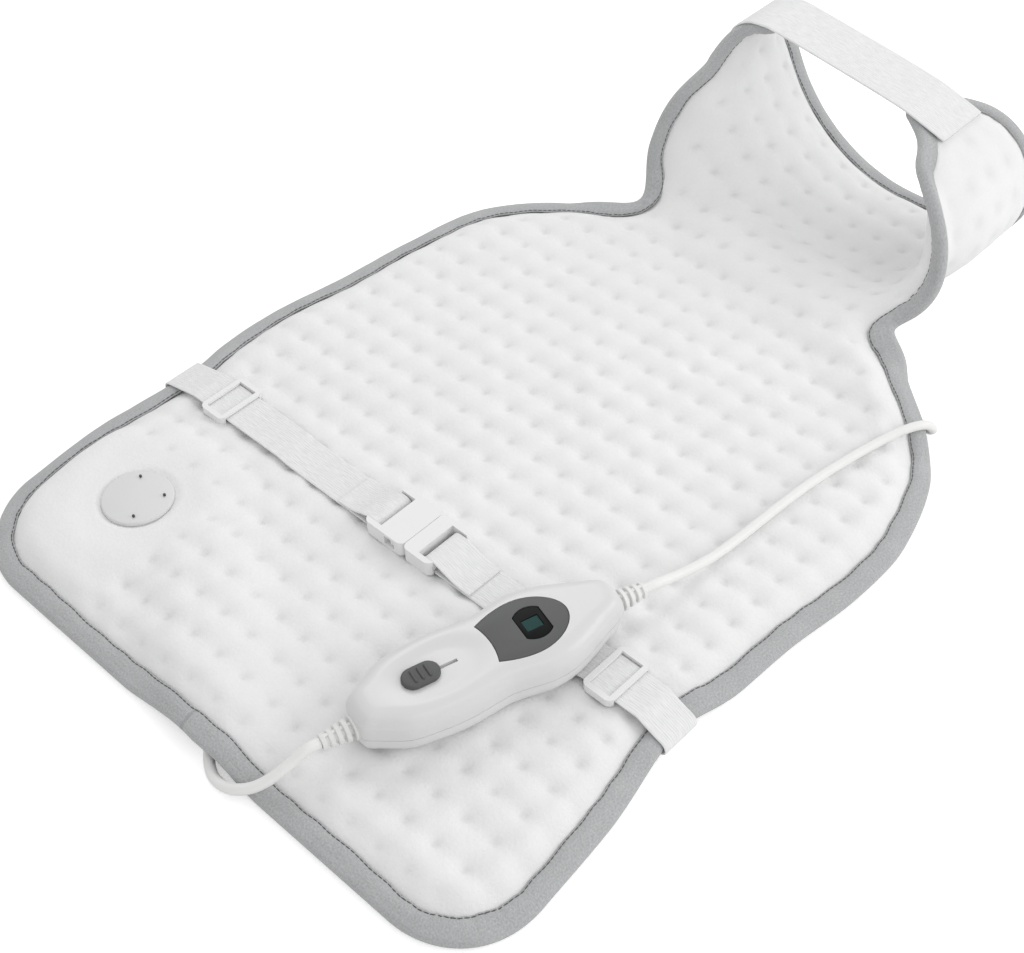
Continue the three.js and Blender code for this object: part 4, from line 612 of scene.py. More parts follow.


# Brushed cloth finish: uneven nap in two sizes, for the lining and the plush top. Where the attribute
# "pit" says that a tuft draws the cloth in, the colour is darkened with painted shade.
brushed_finish = new_finish("brushed_finish", {
    "Colour": (0.8, 0.8, 0.8, 1.0), "Shade": 0.10, "Nap Size": 420.0, "Patch Size": 45.0, "Pit Shade": 0.0,
}, [
    ("place", "ShaderNodeTexCoord", {}, {}),
    ("nap", "ShaderNodeTexNoise", {},
     {"Vector": "place.Object", "Scale": "in.Nap Size", "Detail": 4.0, "Roughness": 0.65}),
    ("patch", "ShaderNodeTexNoise", {}, {"Vector": "place.Object", "Scale": "in.Patch Size", "Detail": 2.0}),
    math_step("sum", "ADD", "nap.Fac", "patch.Fac"),
    math_step("centre", "SUBTRACT", "sum.Value", 1.0),
    math_step("shift", "MULTIPLY_ADD", "centre.Value", "in.Shade", 1.0),
    # Painted shade: the pit share, times the pit shade amount, is taken off the colour's level.
    ("pit", "ShaderNodeAttribute", {"attribute_name": "pit"}, {}),
    math_step("shade", "MULTIPLY", "pit.Fac", "in.Pit Shade"),
    math_step("level", "SUBTRACT", "shift.Value", "shade.Value"),
    ("tint", "ShaderNodeVectorMath", {"operation": "SCALE"}, {0: "in.Colour", "Scale": "level.Value"}),
    ("rough", "ShaderNodeMapRange", {}, {"Value": "nap.Fac", "To Min": 0.86, "To Max": 1.0}),
    ("out", "NodeGroupOutput", {},
     {"Colour": "tint.Vector", "Roughness": "rough.Result", "Height": "nap.Fac"}),
])

# Painted shade: a faint darkening of the colour in the dimples, from the pit share below.
lining_cloth = finished_material("lining_cloth", brushed_finish, {
    "Colour": (0.82, 0.82, 0.82, 1.0), "Shade": 0.08, "Nap Size": 700.0, "Patch Size": 60.0,
    "Pit Shade": 0.08,
}, 0.00012, [("Sheen Weight", 0.15), ("Specular IOR Level", 0.25)])
lining_spacing, lining_inset = 0.0035, 0.007
lining_thickness = 0.0008
dimple_radius, dimple_depth = 0.0045, 0.0012
lining_points, lining_faces = pattern_grid(lining_spacing, lining_inset)
lining_du, lining_dv, lining_sewn = tuft_offset(lining_points[:, 0], lining_points[:, 1])
lining_inward = inward_distance(lining_points)
lining_pit = lining_sewn * np.exp(-(np.hypot(lining_du, lining_dv) / dimple_radius) ** 2)
lining_pit *= smooth_step((lining_inward - 0.020) / 0.008)
lining_over_tape = 0.0016 * smooth_step((0.0130 - lining_inward) / 0.0025)
lining_low = dimple_depth * lining_pit + lining_over_tape
# The pit share goes to both faces of the lining, so both carry the painted shade in the dimples.
lining = new_piece(
    "lining", *closed_layer(lining_points, lining_faces, lining_low, lining_low + lining_thickness),
    lining_cloth, pit=np.tile(lining_pit, 2),
)
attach(lining, "pad")
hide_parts("back_cover")


# Heating element: a cord sewn to and fro on a thin carrier sheet between the lining and the quilt.
# It can't be seen once the pad is closed, so the CAD pieces stay, with their own finishes.
carrier_cloth = finished_material("carrier_cloth", brushed_finish, {
    "Colour": (0.78, 0.76, 0.70, 1.0), "Shade": 0.10, "Nap Size": 900.0,
}, 0.00008)
element_jacket = finished_material("element_jacket", moulded_finish, {
    "Colour": (0.72, 0.66, 0.52, 1.0), "Clouding": 0.05, "Gloss": 0.5,
}, 0.00002)


def refinish(material, *node_names):
    """Gives CAD nodes whose shape stays a finish of their own."""
    for node_name in node_names:
        nodes[node_name].data.materials.clear()
        nodes[node_name].data.materials.append(material)


refinish(carrier_cloth, "heating_carrier")
refinish(element_jacket, "heating_wire")


# Quilted top: white plush over wadding, drawn down to the carrier by spot tufts on a square grid, so
# that each square puffs up between them. The puffs run fuller along the rows than across them. The
# pits at the tufts are darkened with painted shade.
# Painted shade: the plush's colour is darkened in the tuft pits, by the pit share that puff_height gives.
plush = finished_material("white_plush", brushed_finish, {
    "Colour": (0.84, 0.84, 0.84, 1.0), "Shade": 0.07, "Nap Size": 520.0, "Patch Size": 38.0,
    "Pit Shade": 0.15,
}, 0.00035, [("Sheen Weight", 0.25), ("Sheen Roughness", 0.6), ("Specular IOR Level", 0.15)])
quilt_spacing, quilt_inset = 0.0020, 0.0065
quilt_floor, quilt_underside = 0.0050, 0.0040
puff_loft, puff_run = 0.0095, 0.018
pit_radius, pit_depth = 0.0021, 0.0015
plate_reach = 0.0213
tape_upper_leg = 0.0126


def tape_narrowing(u, v):
    """Share of the tape's upper leg that is turned under along the outer edge of the left wing."""
    on_wing = smooth_step((v - 0.165) / 0.025) * (1 - smooth_step((v - 0.262) / 0.022))
    return 0.34 * on_wing * smooth_step((-0.085 - u) / 0.015)


def puff_height(points):
    """Height of the plush over its underside, low under the tape and the plate, and share of its pits, which
    also sets the painted shade.
    """
    u, v = points[:, 0], points[:, 1]
    x = u + aside_at(v)
    inward = inward_distance(points)
    under_tape = 0.0106 - tape_upper_leg * tape_narrowing(u, v)
    edge = np.sin(0.5 * np.pi * np.clip((inward - under_tape) / puff_run, 0, 1)) ** 0.85
    du, dv, sewn = tuft_offset(u, v)
    row_wave = 0.5 + 0.5 * np.cos(2 * np.pi * dv / tuft_pitch)
    column_wave = 0.5 + 0.5 * np.cos(2 * np.pi * du / tuft_pitch)
    left_of_plain = smooth_step((junction_x + 0.040 - x) / 0.012)
    in_plain_corner = left_of_plain * smooth_step((junction_y + 0.033 - v) / 0.012)
    firmness = 1 + 0.3 * np.sin(97 * x + 3 * np.sin(53 * v)) * np.sin(89 * v + 2 * np.sin(41 * x))
    drawn = 0.0009 * row_wave ** 1.5 + 0.0003 * column_wave + 0.0008 * row_wave * column_wave
    pit = sewn * smooth_step((inward - 0.016) / 0.008) * np.exp(-(np.hypot(du, dv) / pit_radius) ** 1.5)
    uneven = (np.sin(61 * u + 2.1 * np.sin(47 * v)) + np.sin(83 * v + 1.7 * np.sin(39 * u) + 1.0)
              + 0.7 * np.sin(173 * u - 121 * v + 0.6) + 0.5 * np.sin(211 * u + 257 * v))
    pulled = (1 - in_plain_corner) * firmness * drawn + pit_depth * pit
    under_strap = smooth_step((0.028 - np.abs(v - strap_y)) / 0.010)
    under_strap = under_strap * smooth_step((np.abs(u) - 0.140) / 0.020)
    height = edge * (puff_loft - 0.0016 * under_strap - pulled + 0.00028 * uneven)
    from_plate = np.hypot(x - junction_x, v - junction_y) - plate_reach
    beside_plate = smooth_step(from_plate / 0.048)
    seat = 0.0019 + 0.0018 * smooth_step(from_plate / 0.003)
    return quilt_floor + height * beside_plate + (1 - beside_plate) * seat * smooth_step(edge / 0.3), pit


quilt_points, quilt_faces = pattern_grid(quilt_spacing, quilt_inset)
quilt_top, quilt_pit = puff_height(quilt_points)
# Only the top face carries the pit share, so the painted shade in the pits shows on top alone.
quilt = new_piece(
    "quilted_cover", *closed_layer(quilt_points, quilt_faces, quilt_underside, quilt_top),
    plush, pit=np.concatenate([quilt_pit, 0 * quilt_pit]),
)
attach(quilt, "pad")
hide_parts("quilted_top")


# Edge tape: grey woven tape folded round the whole edge over a soft core, and sewn through near its
# inner edges. It puckers on the inside of tight bends.
tape_lower_leg = 0.0100
tape_fold = 0.0074
tape_thickness = 0.0010

woven_finish = new_finish("woven_finish", {
    "Colour": (0.4, 0.4, 0.4, 1.0), "Thread Contrast": 0.35, "Threads Along": 1200.0,
    "Threads Across": 1200.0, "Fade": 0.12,
}, [
    ("uv", "ShaderNodeUVMap", {"uv_map": "pattern"}, {}),
    ("split", "ShaderNodeSeparateXYZ", {}, {"Vector": "uv.UV"}),
    math_step("warp", "MULTIPLY", "split.X", "in.Threads Along"),
    math_step("weft", "MULTIPLY", "split.Y", "in.Threads Across"),
    ("join", "ShaderNodeCombineXYZ", {}, {"X": "warp.Value", "Y": "weft.Value"}),
    ("thread", "ShaderNodeTexNoise", {}, {"Vector": "join.Vector", "Scale": 1.0, "Detail": 1.0}),
    ("fade", "ShaderNodeTexNoise", {}, {"Vector": "uv.UV", "Scale": 60.0, "Detail": 3.0}),
    math_step("spread", "SUBTRACT", "thread.Fac", 0.5),
    math_step("drift", "SUBTRACT", "fade.Fac", 0.5),
    math_step("light", "MULTIPLY_ADD", "drift.Value", "in.Fade", 1.0),
    math_step("worn", "MULTIPLY_ADD", "spread.Value", "in.Thread Contrast", "light.Value"),
    ("tint", "ShaderNodeVectorMath", {"operation": "SCALE"}, {0: "in.Colour", "Scale": "worn.Value"}),
    ("rough", "ShaderNodeMapRange", {}, {"Value": "thread.Fac", "To Min": 0.7, "To Max": 0.95}),
    ("out", "NodeGroupOutput", {},
     {"Colour": "tint.Vector", "Roughness": "rough.Result", "Height": "thread.Fac"}),
])

tape_spacing = 0.002
tape_half = outline_half(tape_spacing)
tape_line = np.vstack([tape_half, (tape_half * (-1, 1))[::-1][1:-1]])
tape_closed = np.vstack([tape_line[-1], tape_line, tape_line[0]])
tape_outward = outward_of(tape_closed)[1:-1]
tape_along = np.concatenate([[0.0], np.cumsum(np.linalg.norm(np.diff(tape_line, axis=0), axis=1))])
tape_heading = np.unwrap(np.arctan2(tape_outward[:, 1], tape_outward[:, 0]))
tape_bend = np.abs(np.gradient(tape_heading)) / tape_spacing
tape_bend = np.concatenate([tape_bend[-8:], tape_bend, tape_bend[:8]])
tape_bend = np.convolve(tape_bend, np.ones(17) / 17, "valid")


def tape_profile():
    """Section of the folded tape: distance in from the edge and height, round its outer then inner face."""
    fold_round = 0.0035
    outer = []
    for t in np.linspace(0, 1, 12):
        inset = tape_upper_leg - t * (tape_upper_leg - fold_round)
        outer.append((inset, 0.0079 + 0.0011 * math.sin(math.pi * t) - 0.0004 * t))
    for angle in np.radians(np.linspace(80, -80, 9)):
        outer.append((fold_round - fold_round * math.cos(angle), 0.5 * tape_fold * (1 + math.sin(angle))))
    outer.append((fold_round, 0.0))
    outer.append((tape_lower_leg, 0.0))
    outer = np.array(outer)
    along = np.gradient(outer, axis=0)
    along /= np.linalg.norm(along, axis=1)[:, None]
    inner = outer + tape_thickness * np.column_stack([-along[:, 1], along[:, 0]])
    return outer, inner


tape_outer, tape_inner = tape_profile()
tape_section = np.vstack([tape_outer, tape_inner[::-1]])
tape_upper = smooth_step((tape_section[:, 1] - 0.0045) / 0.002)
tape_ripple = np.sin(2 * np.pi * tape_along / 0.0068 + 2 * np.sin(tape_along * 210))
tape_pucker = np.minimum(tape_bend / 40.0, 1.0) * tape_ripple
tape_wave = 0.00035 * np.sin(tape_along * 290 + np.sin(tape_along * 83)) + 0.00045 * np.sin(tape_along * 71)
tape_vertices, tape_uv = [], []
section_run = np.concatenate([[0.0], np.cumsum(np.linalg.norm(np.diff(tape_section, axis=0), axis=1))])
for station in range(len(tape_line)):
    inner_share = np.clip(tape_section[:, 0] / tape_upper_leg, 0, 1)
    leg_share = 1 - tape_upper * tape_narrowing(*tape_line[station])
    inset = tape_section[:, 0] * leg_share + tape_upper * inner_share * tape_wave[station]
    height = tape_section[:, 1] + tape_upper * (
        0.00075 * tape_pucker[station] * inner_share + 0.25 * tape_wave[station] * (1 - inner_share))
    place = tape_line[station] - inset[:, None] * tape_outward[station]
    tape_vertices.append(lay(place[:, 0], place[:, 1], height))
    tape_uv.append(np.column_stack([np.full(len(section_run), tape_along[station]), section_run]))


def ring_faces(count, pairs):
    """Faces that join rings of as many points each, for pairs of ring numbers."""
    return [
        [low * count + i, low * count + (i + 1) % count, high * count + (i + 1) % count, high * count + i]
        for low, high in pairs for i in range(count)
    ]


tape_faces = ring_faces(len(tape_section), [
    (station, (station + 1) % len(tape_line)) for station in range(len(tape_line))
])
tape_cloth = finished_material("grey_tape", woven_finish, {
    "Colour": (0.44, 0.445, 0.45, 1.0), "Thread Contrast": 0.6, "Threads Along": 900.0,
    "Threads Across": 900.0, "Fade": 0.2,
}, 0.00025, [("Sheen Weight", 0.2), ("Specular IOR Level", 0.2)])
tape = new_piece("edge_tape", np.vstack(tape_vertices), tape_faces, tape_cloth, np.vstack(tape_uv))
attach(tape, "pad")
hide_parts("edge_binding")


# Seam of the tape: one row of lock stitches in dark grey thread along its inner edge, each stitch a
# short plump length of thread lying on the tape.
stitch_inset = 0.0116
stitch_share = 1 - tape_narrowing(tape_line[:, 0], tape_line[:, 1])
stitch_line = tape_line - (stitch_inset * stitch_share + 0.8 * tape_wave)[:, None] * tape_outward
stitch_height = 0.0083 + 0.0006 * tape_pucker
stitch_route = lay(stitch_line[:, 0], stitch_line[:, 1], stitch_height)
stitch_mesh = bpy.data.meshes.new("stitch_route")
stitch_mesh.from_pydata(
    [tuple(point) for point in stitch_route],
    [(i, (i + 1) % len(stitch_route)) for i in range(len(stitch_route))], [],
)
stitch_tree = new_tree("sewn_stitches", [
    ("Spacing", "NodeSocketFloat"), ("Thread", "NodeSocketFloat"), ("Reach", "NodeSocketFloat"),
    ("Yarn", "NodeSocketMaterial"),
], [
    ("curve", "GeometryNodeMeshToCurve", {}, {"Mesh": "in.Geometry"}),
    ("points", "GeometryNodeCurveToPoints", {"mode": "LENGTH"},
     {"Curve": "curve.Curve", "Length": "in.Spacing"}),
    ("ball", "GeometryNodeMeshUVSphere", {}, {"Segments": 6, "Rings": 5, "Radius": 0.5}),
    ("scale", "ShaderNodeCombineXYZ", {}, {"X": "in.Thread", "Y": "in.Thread", "Z": "in.Reach"}),
    ("copy", "GeometryNodeInstanceOnPoints", {},
     {"Points": "points.Points", "Instance": "ball.Mesh",
      "Rotation": "points.Rotation", "Scale": "scale.Vector"}),
    ("real", "GeometryNodeRealizeInstances", {}, {"Geometry": "copy.Instances"}),
    ("smooth", "GeometryNodeSetShadeSmooth", {}, {"Geometry": "real.Geometry"}),
    ("coat", "GeometryNodeSetMaterial", {}, {"Geometry": "smooth.Geometry", "Material": "in.Yarn"}),
    ("out", "NodeGroupOutput", {}, {"Geometry": "coat.Geometry"}),
])
seam_yarn = finished_material("seam_yarn", brushed_finish, {
    "Colour": (0.11, 0.11, 0.115, 1.0), "Shade": 0.3, "Nap Size": 2500.0,
}, 0.00005)
tape_seam = bake_tree("tape_seam", stitch_mesh, stitch_tree, {
    "Spacing": 0.0033, "Thread": 0.0007, "Reach": 0.0031, "Yarn": seam_yarn,
})
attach(tape_seam, "pad")


# Junction: a pale vinyl disc on the plush at the lower left, riveted through the pad to a socket below.
# Disc and rivets are pressed flat; the socket, its contacts and the plug-in connector are under the pad.
junction_vinyl = finished_material("junction_vinyl", moulded_finish, {
    "Colour": (0.70, 0.70, 0.705, 1.0), "Clouding": 0.06, "Cloud Size": 70.0,
    "Gloss": 0.48, "Grain Size": 1500.0,
}, 0.00004)
rivet_metal = finished_material("rivet_metal", moulded_finish, {
    "Colour": (0.07, 0.07, 0.075, 1.0), "Clouding": 0.2, "Gloss": 0.35,
}, 0.00001, [("Metallic", 0.6)])
matte_plastic = finished_material("matte_plastic", moulded_finish, {
    "Colour": (0.82, 0.82, 0.82, 1.0), "Clouding": 0.04, "Gloss": 0.45, "Grain Size": 1800.0,
}, 0.00002)
contact_brass = finished_material("contact_brass", moulded_finish, {
    "Colour": (0.72, 0.52, 0.18, 1.0), "Clouding": 0.15, "Gloss": 0.25,
}, 0.00001, [("Metallic", 1.0)])


def capped_rings(rings):
    """Closed body through rings of points, with its first and last ring filled."""
    count, last = len(rings[0]), len(rings) - 1
    faces = ring_faces(count, zip(range(last), range(1, last + 1)))
    faces.append(list(range(count))[::-1])
    faces.append([last * count + i for i in range(count)])
    return np.vstack(rings), faces


def slab(outline, z0, z1, edge_round, steps=5):
    """Closed slab over an anticlockwise outline in plan, with its upper edge rounded over."""
    outline = np.asarray(outline, float)
    wrapped = np.vstack([outline[-1], outline, outline[0]])
    outward = outward_of(wrapped)[1:-1]
    rings = [np.column_stack([outline, np.full(len(outline), z0)])]
    for angle in np.linspace(0, 0.5 * math.pi, steps):
        inset = edge_round * (1 - math.cos(angle))
        height = z1 - edge_round * (1 - math.sin(angle))
        rings.append(np.column_stack([outline - inset * outward, np.full(len(outline), height)]))
    return capped_rings(rings)


def plain_slab(outline, z0, z1):
    """Slab whose upper edge is all but sharp."""
    return slab(outline, z0, z1, 0.0001, 2)


def round_outline(x, y, radius, turns):
    return np.column_stack([x + radius * np.cos(turns), y + radius * np.sin(turns)])


def flat_where_flat(piece, angle=40.0):
    """Smooth shading that keeps the edges sharper than an angle."""
    piece.data.set_sharp_from_angle(angle=math.radians(angle))
    return piece


disc_low, disc_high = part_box("junction_plate")
disc_turn = np.linspace(0, 2 * math.pi, 120, endpoint=False)
disc_radius = 0.0210 * (1 - 0.006 * (1 + np.cos(3 * disc_turn + 0.4)))
disc_outline = round_outline(junction_x, junction_y, disc_radius, disc_turn)
disc = flat_where_flat(new_piece(
    "junction_disc", *slab(disc_outline, disc_low.z, disc_high.z, 0.0010), junction_vinyl))
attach(disc, "pad")
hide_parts("junction_plate")
rivet_radius = 0.0008
for rivet_node in ("junction_rivet_1", "junction_rivet_2", "junction_rivet_3"):
    rivet_low, rivet_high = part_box(rivet_node)
    rivet_x, rivet_y = 0.5 * (rivet_low.x + rivet_high.x), 0.5 * (rivet_low.y + rivet_high.y)
    rivet_outline = round_outline(rivet_x, rivet_y, rivet_radius, disc_turn)
    rivet = flat_where_flat(new_piece(
        rivet_node + "_pin", *slab(rivet_outline[::5], rivet_low.z, rivet_high.z, 0.0003), rivet_metal))
    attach(rivet, "pad")
    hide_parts(rivet_node)
refinish(matte_plastic, "socket_housing", "cord_connector")
refinish(contact_brass, "socket_contact_1", "socket_contact_2")


# Waist strap: two lengths of white ribbed elastic, each turned under the pad's edge, drawn through a
# tri-glide, and looped round the bar of one buckle half. The ribs run along it, over crossing threads.
elastic_cloth = finished_material("ribbed_elastic", woven_finish, {
    "Colour": (0.80, 0.80, 0.805, 1.0), "Thread Contrast": 0.30, "Threads Along": 160.0,
    "Threads Across": 1300.0, "Fade": 0.05,
}, 0.00022, [("Sheen Weight", 0.15), ("Specular IOR Level", 0.2)])


def rounded_path(points, rounds=3):
    """Path with its corners cut again and again, its ends kept."""
    path = np.asarray(points, float)
    for _ in range(rounds):
        near = 0.75 * path[:-1] + 0.25 * path[1:]
        far = 0.25 * path[:-1] + 0.75 * path[1:]
        path = np.vstack([path[0], np.column_stack([near, far]).reshape(-1, 2)[1:-1], path[-1]])
    return path


def evened_path(path, spacing):
    steps = np.concatenate([[0.0], np.cumsum(np.linalg.norm(np.diff(path, axis=0), axis=1))])
    even = np.linspace(0, steps[-1], int(steps[-1] / spacing) + 2)
    return np.column_stack([np.interp(even, steps, path[:, 0]), np.interp(even, steps, path[:, 1])]), even


def webbing(name, path, thickness, width, middle_y, rib_pitch, rib_depth, material):
    """Strip of ribbed webbing along a path in x and z, drawn out along y."""
    path, along = evened_path(path, 0.0016)
    heading = np.gradient(path, axis=0)
    heading /= np.linalg.norm(heading, axis=1)[:, None]
    over = np.column_stack([-heading[:, 1], heading[:, 0]])
    columns = np.linspace(-width / 2, width / 2, int(round(4 * width / rib_pitch)) + 1)
    rib = 0.5 + 0.5 * np.cos(2 * np.pi * columns / rib_pitch)
    edge = np.clip((width / 2 - np.abs(columns)) / (0.5 * thickness), 0, 1)
    half = 0.5 * thickness * (0.35 + 0.65 * np.sqrt(1 - (1 - edge) ** 2)) - rib_depth * (1 - rib) * edge
    ys = np.concatenate([columns, columns[::-1]])
    heights = np.concatenate([half, -half[::-1]])
    count = len(ys)
    vertices = np.empty((len(path), count, 3))
    vertices[:, :, 0] = path[:, :1] + over[:, :1] * heights
    vertices[:, :, 1] = middle_y + ys
    vertices[:, :, 2] = path[:, 1:] + over[:, 1:] * heights
    points, faces = capped_rings(list(vertices))
    uv = np.stack([np.repeat(along[:, None], count, 1), np.repeat(ys[None, :], len(path), 0)], axis=-1)
    piece = new_piece(name, points, faces, material, uv.reshape(-1, 2))
    outward = bmesh.new()
    outward.from_mesh(piece.data)
    bmesh.ops.recalc_face_normals(outward, faces=outward.faces)
    outward.to_mesh(piece.data)
    outward.free()
    return flat_where_flat(piece, 60.0)


strap_width = 0.025
strap_thickness = 0.0013
strap_aside = float(aside_at(strap_y))


def strap_path(way, glide_from, glide_to, bar_end, slot_middle):
    """Half of the strap in x and z: up from under the pad, through the glide and round the buckle's bar."""
    tail, edge, brow = (strap_aside + way * reach for reach in (0.187, 0.1999, 0.192))
    tail_height, glide_height, level_height, bar_height = 0.00075, 0.01685, 0.01495, 0.02255
    return rounded_path([
        (tail, tail_height), (edge, tail_height), (edge, 0.0088), (brow, 0.0114),
        (way * glide_from, glide_height), (way * (glide_from - 0.001), glide_height),
        (way * (glide_to + 0.001), glide_height), (way * glide_to, glide_height),
        (way * (glide_to - 0.008), level_height), (bar_end + way * 0.008, level_height),
        (slot_middle, 0.01515), (slot_middle, bar_height), (bar_end + way * 0.001, bar_height),
        (bar_end + way * 0.015, 0.01655), (bar_end + way * 0.026, 0.01635),
    ])


strap_rib, strap_rib_depth = 0.0014, 0.00016
strap_left = webbing("waist_strap_left", strap_path(-1, 0.1765, 0.0985, -0.021, -0.013),
                     strap_thickness, strap_width, strap_y, strap_rib, strap_rib_depth, elastic_cloth)
strap_right = webbing("waist_strap_right", strap_path(1, 0.1745, 0.1385, 0.0303, 0.0223),
                      strap_thickness, strap_width, strap_y, strap_rib, strap_rib_depth, elastic_cloth)
for strap, strap_node in ((strap_left, "strap_left"), (strap_right, "strap_right")):
    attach(strap, "pad")
    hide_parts(strap_node)


# Strap hardware: two tri-glides that slide on the strap, and a side-release buckle whose two prongs
# show in the side windows. All moulded in white acetal, with every edge eased.
hardware_white = finished_material("hardware_white", moulded_finish, {
    "Colour": (0.81, 0.81, 0.81, 1.0), "Clouding": 0.03, "Gloss": 0.45, "Grain Size": 1600.0,
}, 0.00002)


def eased_copy(name, node_name, edge_round, material, segments=3):
    """Copy of a CAD node with its edges rounded, to stand for the node."""
    shape = bmesh.new()
    shape.from_mesh(nodes[node_name].data)
    bmesh.ops.remove_doubles(shape, verts=shape.verts, dist=1e-6)
    bmesh.ops.dissolve_limit(shape, angle_limit=math.radians(2), verts=shape.verts, edges=shape.edges)
    mesh = bpy.data.meshes.new(name + "_sharp")
    shape.to_mesh(mesh)
    shape.free()
    mesh.shade_smooth()
    start = placed(name + "_sharp", mesh)
    bevel = start.modifiers.new("ease", "BEVEL")
    bevel.width = edge_round
    bevel.segments = segments
    bevel.limit_method = "ANGLE"
    bevel.angle_limit = math.radians(35)
    even = start.modifiers.new("even", "WEIGHTED_NORMAL")
    even.keep_sharp = True
    eased = evaluated_mesh(name, start)
    bpy.data.objects.remove(start)
    eased.materials.clear()
    eased.materials.append(material)
    piece = placed(name, eased)
    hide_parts(node_name)
    return piece


for name, node_name, body, edge_round in [
    ("tri_glide_left", "glide_left", "left_glide", 0.0006),
    ("tri_glide_right", "glide_right", "right_glide", 0.0006),
    ("buckle_socket_half", "buckle_female", "pad", 0.0012),
    ("buckle_plug_half", "buckle_male", "pad", 0.0012),
    ("buckle_arm_front", "buckle_prong_front", "front_prong", 0.0005),
    ("buckle_arm_back", "buckle_prong_back", "back_prong", 0.0005),
]:
    hardware = eased_copy(name, node_name, edge_round, hardware_white)
    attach(hardware, body)


# Collar band: wide white ribbed elastic, sewn to the outer faces of both wing ends. It runs straight
# across the neck opening and follows the bent end of the left wing.
band_v = 0.270
band_width, band_thickness = 0.042, 0.0016
band_rib, band_rib_depth = 0.0016, 0.00016
band_lift = -0.0014
band_tip, band_sewn = 0.192, 0.034
band_right = [band_tip - band_sewn, band_tip - 0.5 * band_sewn, band_tip]
band_left = list(np.linspace(0, band_sewn, 8) - band_tip)
band_points = lay(np.array(band_right + band_left), band_v, band_lift)
collar_band = webbing("collar_band", rounded_path(band_points[:, (0, 2)]), band_thickness, band_width, band_v,
                      band_rib, band_rib_depth, elastic_cloth)
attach(collar_band, "pad")
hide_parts("neck_band")


# Controller case: two glossy white moulded shells that meet on a low seam. The upper one has a shallow
# oval field for the switch, an opening for the display panel and a slot for the switch stem.
shell_gloss = finished_material("shell_gloss", moulded_finish, {
    "Colour": (0.70, 0.70, 0.70, 1.0), "Clouding": 0.02, "Cloud Size": 40.0,
    "Gloss": 0.30, "Gloss Spread": 0.05, "Grain Size": 1200.0,
}, 0.000006, [("Specular IOR Level", 0.4), ("Coat Weight", 0.12), ("Coat Roughness", 0.15)])
case_half_outline = [
    (0.0, 9.5), (5.0, 13.2), (11.0, 17.0), (20.0, 22.0), (34.0, 24.5), (52.0, 25.6), (66.0, 24.4),
    (77.0, 23.6), (88.0, 25.2), (99.0, 27.0), (109.0, 26.4), (117.0, 24.4), (126.0, 20.8), (139.0, 14.6),
    (151.0, 8.2),
]


def case_outline(per_span=9):
    """Closed outline of the case in plan, anticlockwise, in its own metres."""
    right = [(x / 1000, s / 1000) for s, x in case_half_outline]
    whole = right + [(-x, s) for x, s in reversed(right)]
    wrapped = whole[-3:] + whole + whole[:3]
    curve = spline_through(wrapped, per_span)
    return curve[3 * per_span:(3 + len(whole)) * per_span]


def on_case(vertices):
    """Points given in the controller's own frame, where the controller lies."""
    turn = np.array(Matrix.Rotation(controller_turn, 3, "Z"))
    return np.asarray(vertices) @ turn.T + np.array(controller_place)


def case_levels(levels, outline):
    """Rings of the outline, each with a share of the width, a share of the length and a height."""
    middle = controller_length / 2
    return [
        np.column_stack([outline[:, 0] * width, middle + (outline[:, 1] - middle) * length,
                         np.full(len(outline), height)])
        for width, length, height in levels
    ]


def bowl(outer, inner):
    """Closed shell from rings that run from the rim to the middle, outside and inside."""
    rings = outer + inner[::-1]
    count, last = len(rings[0]), len(outer) - 1
    faces = ring_faces(count, [
        (level, (level + 1) % len(rings)) for level in range(len(rings)) if level != last
    ])
    faces.append([last * count + i for i in range(count)])
    faces.append([(last + 1) * count + i for i in range(count)][::-1])
    return np.vstack(rings), faces


def smooth_levels(levels, per_span):
    return [tuple(level) for level in spline_through(levels, per_span)]


case_line = case_outline()
upper_levels = smooth_levels([
    (1.0, 1.0, 0.0113), (1.0, 1.0, 0.0160), (0.975, 0.990, 0.0205), (0.920, 0.965, 0.0238),
    (0.820, 0.930, 0.0258), (0.660, 0.870, 0.02675),
], 6)
upper_levels += [(0.66 * t, 0.87 * t, 0.0270 - 0.00025 * t ** 2) for t in np.linspace(1, 0.02, 26)[1:]]
upper_rings = case_levels(upper_levels, case_line)


def sink_field(ring):
    """Lowers the oval field round the switch, with a soft wall."""
    half_width, half_length, middle, field_depth = 0.016, 0.027, 0.047, 0.0014
    reach = np.hypot(ring[:, 0] / half_width, (ring[:, 1] - middle) / half_length)
    depth = field_depth * smooth_step((1.25 - reach) / 0.62)
    return np.column_stack([ring[:, :2], ring[:, 2] - depth])


upper_rings = [sink_field(ring) for ring in upper_rings]
upper_hollow = case_levels(smooth_levels([
    (0.915, 0.970, 0.0113), (0.915, 0.970, 0.0150), (0.870, 0.955, 0.0195), (0.790, 0.920, 0.0224),
    (0.680, 0.870, 0.0236),
], 3) + [(0.3, 0.5, 0.0236), (0.02, 0.03, 0.0236)], case_line)
upper_case = new_piece("controller_upper_case", *bowl(upper_rings, upper_hollow), shell_gloss)


def panel_outline(shrink, steps=26):
    """Outline of the display panel: a hollowed lower end and a round upper end, anticlockwise."""
    start, end, half, foot = 0.077, 0.122, 0.0182 - shrink, 0.013 - shrink
    low = start + shrink - 0.002

    def curve(*controls):
        points = []
        for t in np.linspace(0, 1, steps, endpoint=False):
            level = np.array(controls)
            while len(level) > 1:
                level = level[:-1] * (1 - t) + level[1:] * t
            points.append(level[0])
        return points

    waist, brow, top, brow_half = start + 0.020, end - 0.012, end - shrink, half - 0.009
    return np.array(
        curve((-foot, low), (0, start + shrink + 0.0026), (foot, low))
        + curve((foot, low), (half, start + 0.010), (half, waist))
        + curve((half, waist), (half, brow), (brow_half, top), (0, top))
        + curve((0, top), (-brow_half, top), (-half, brow), (-half, waist))
        + curve((-half, waist), (-half, start + 0.010), (-foot, low))
    )


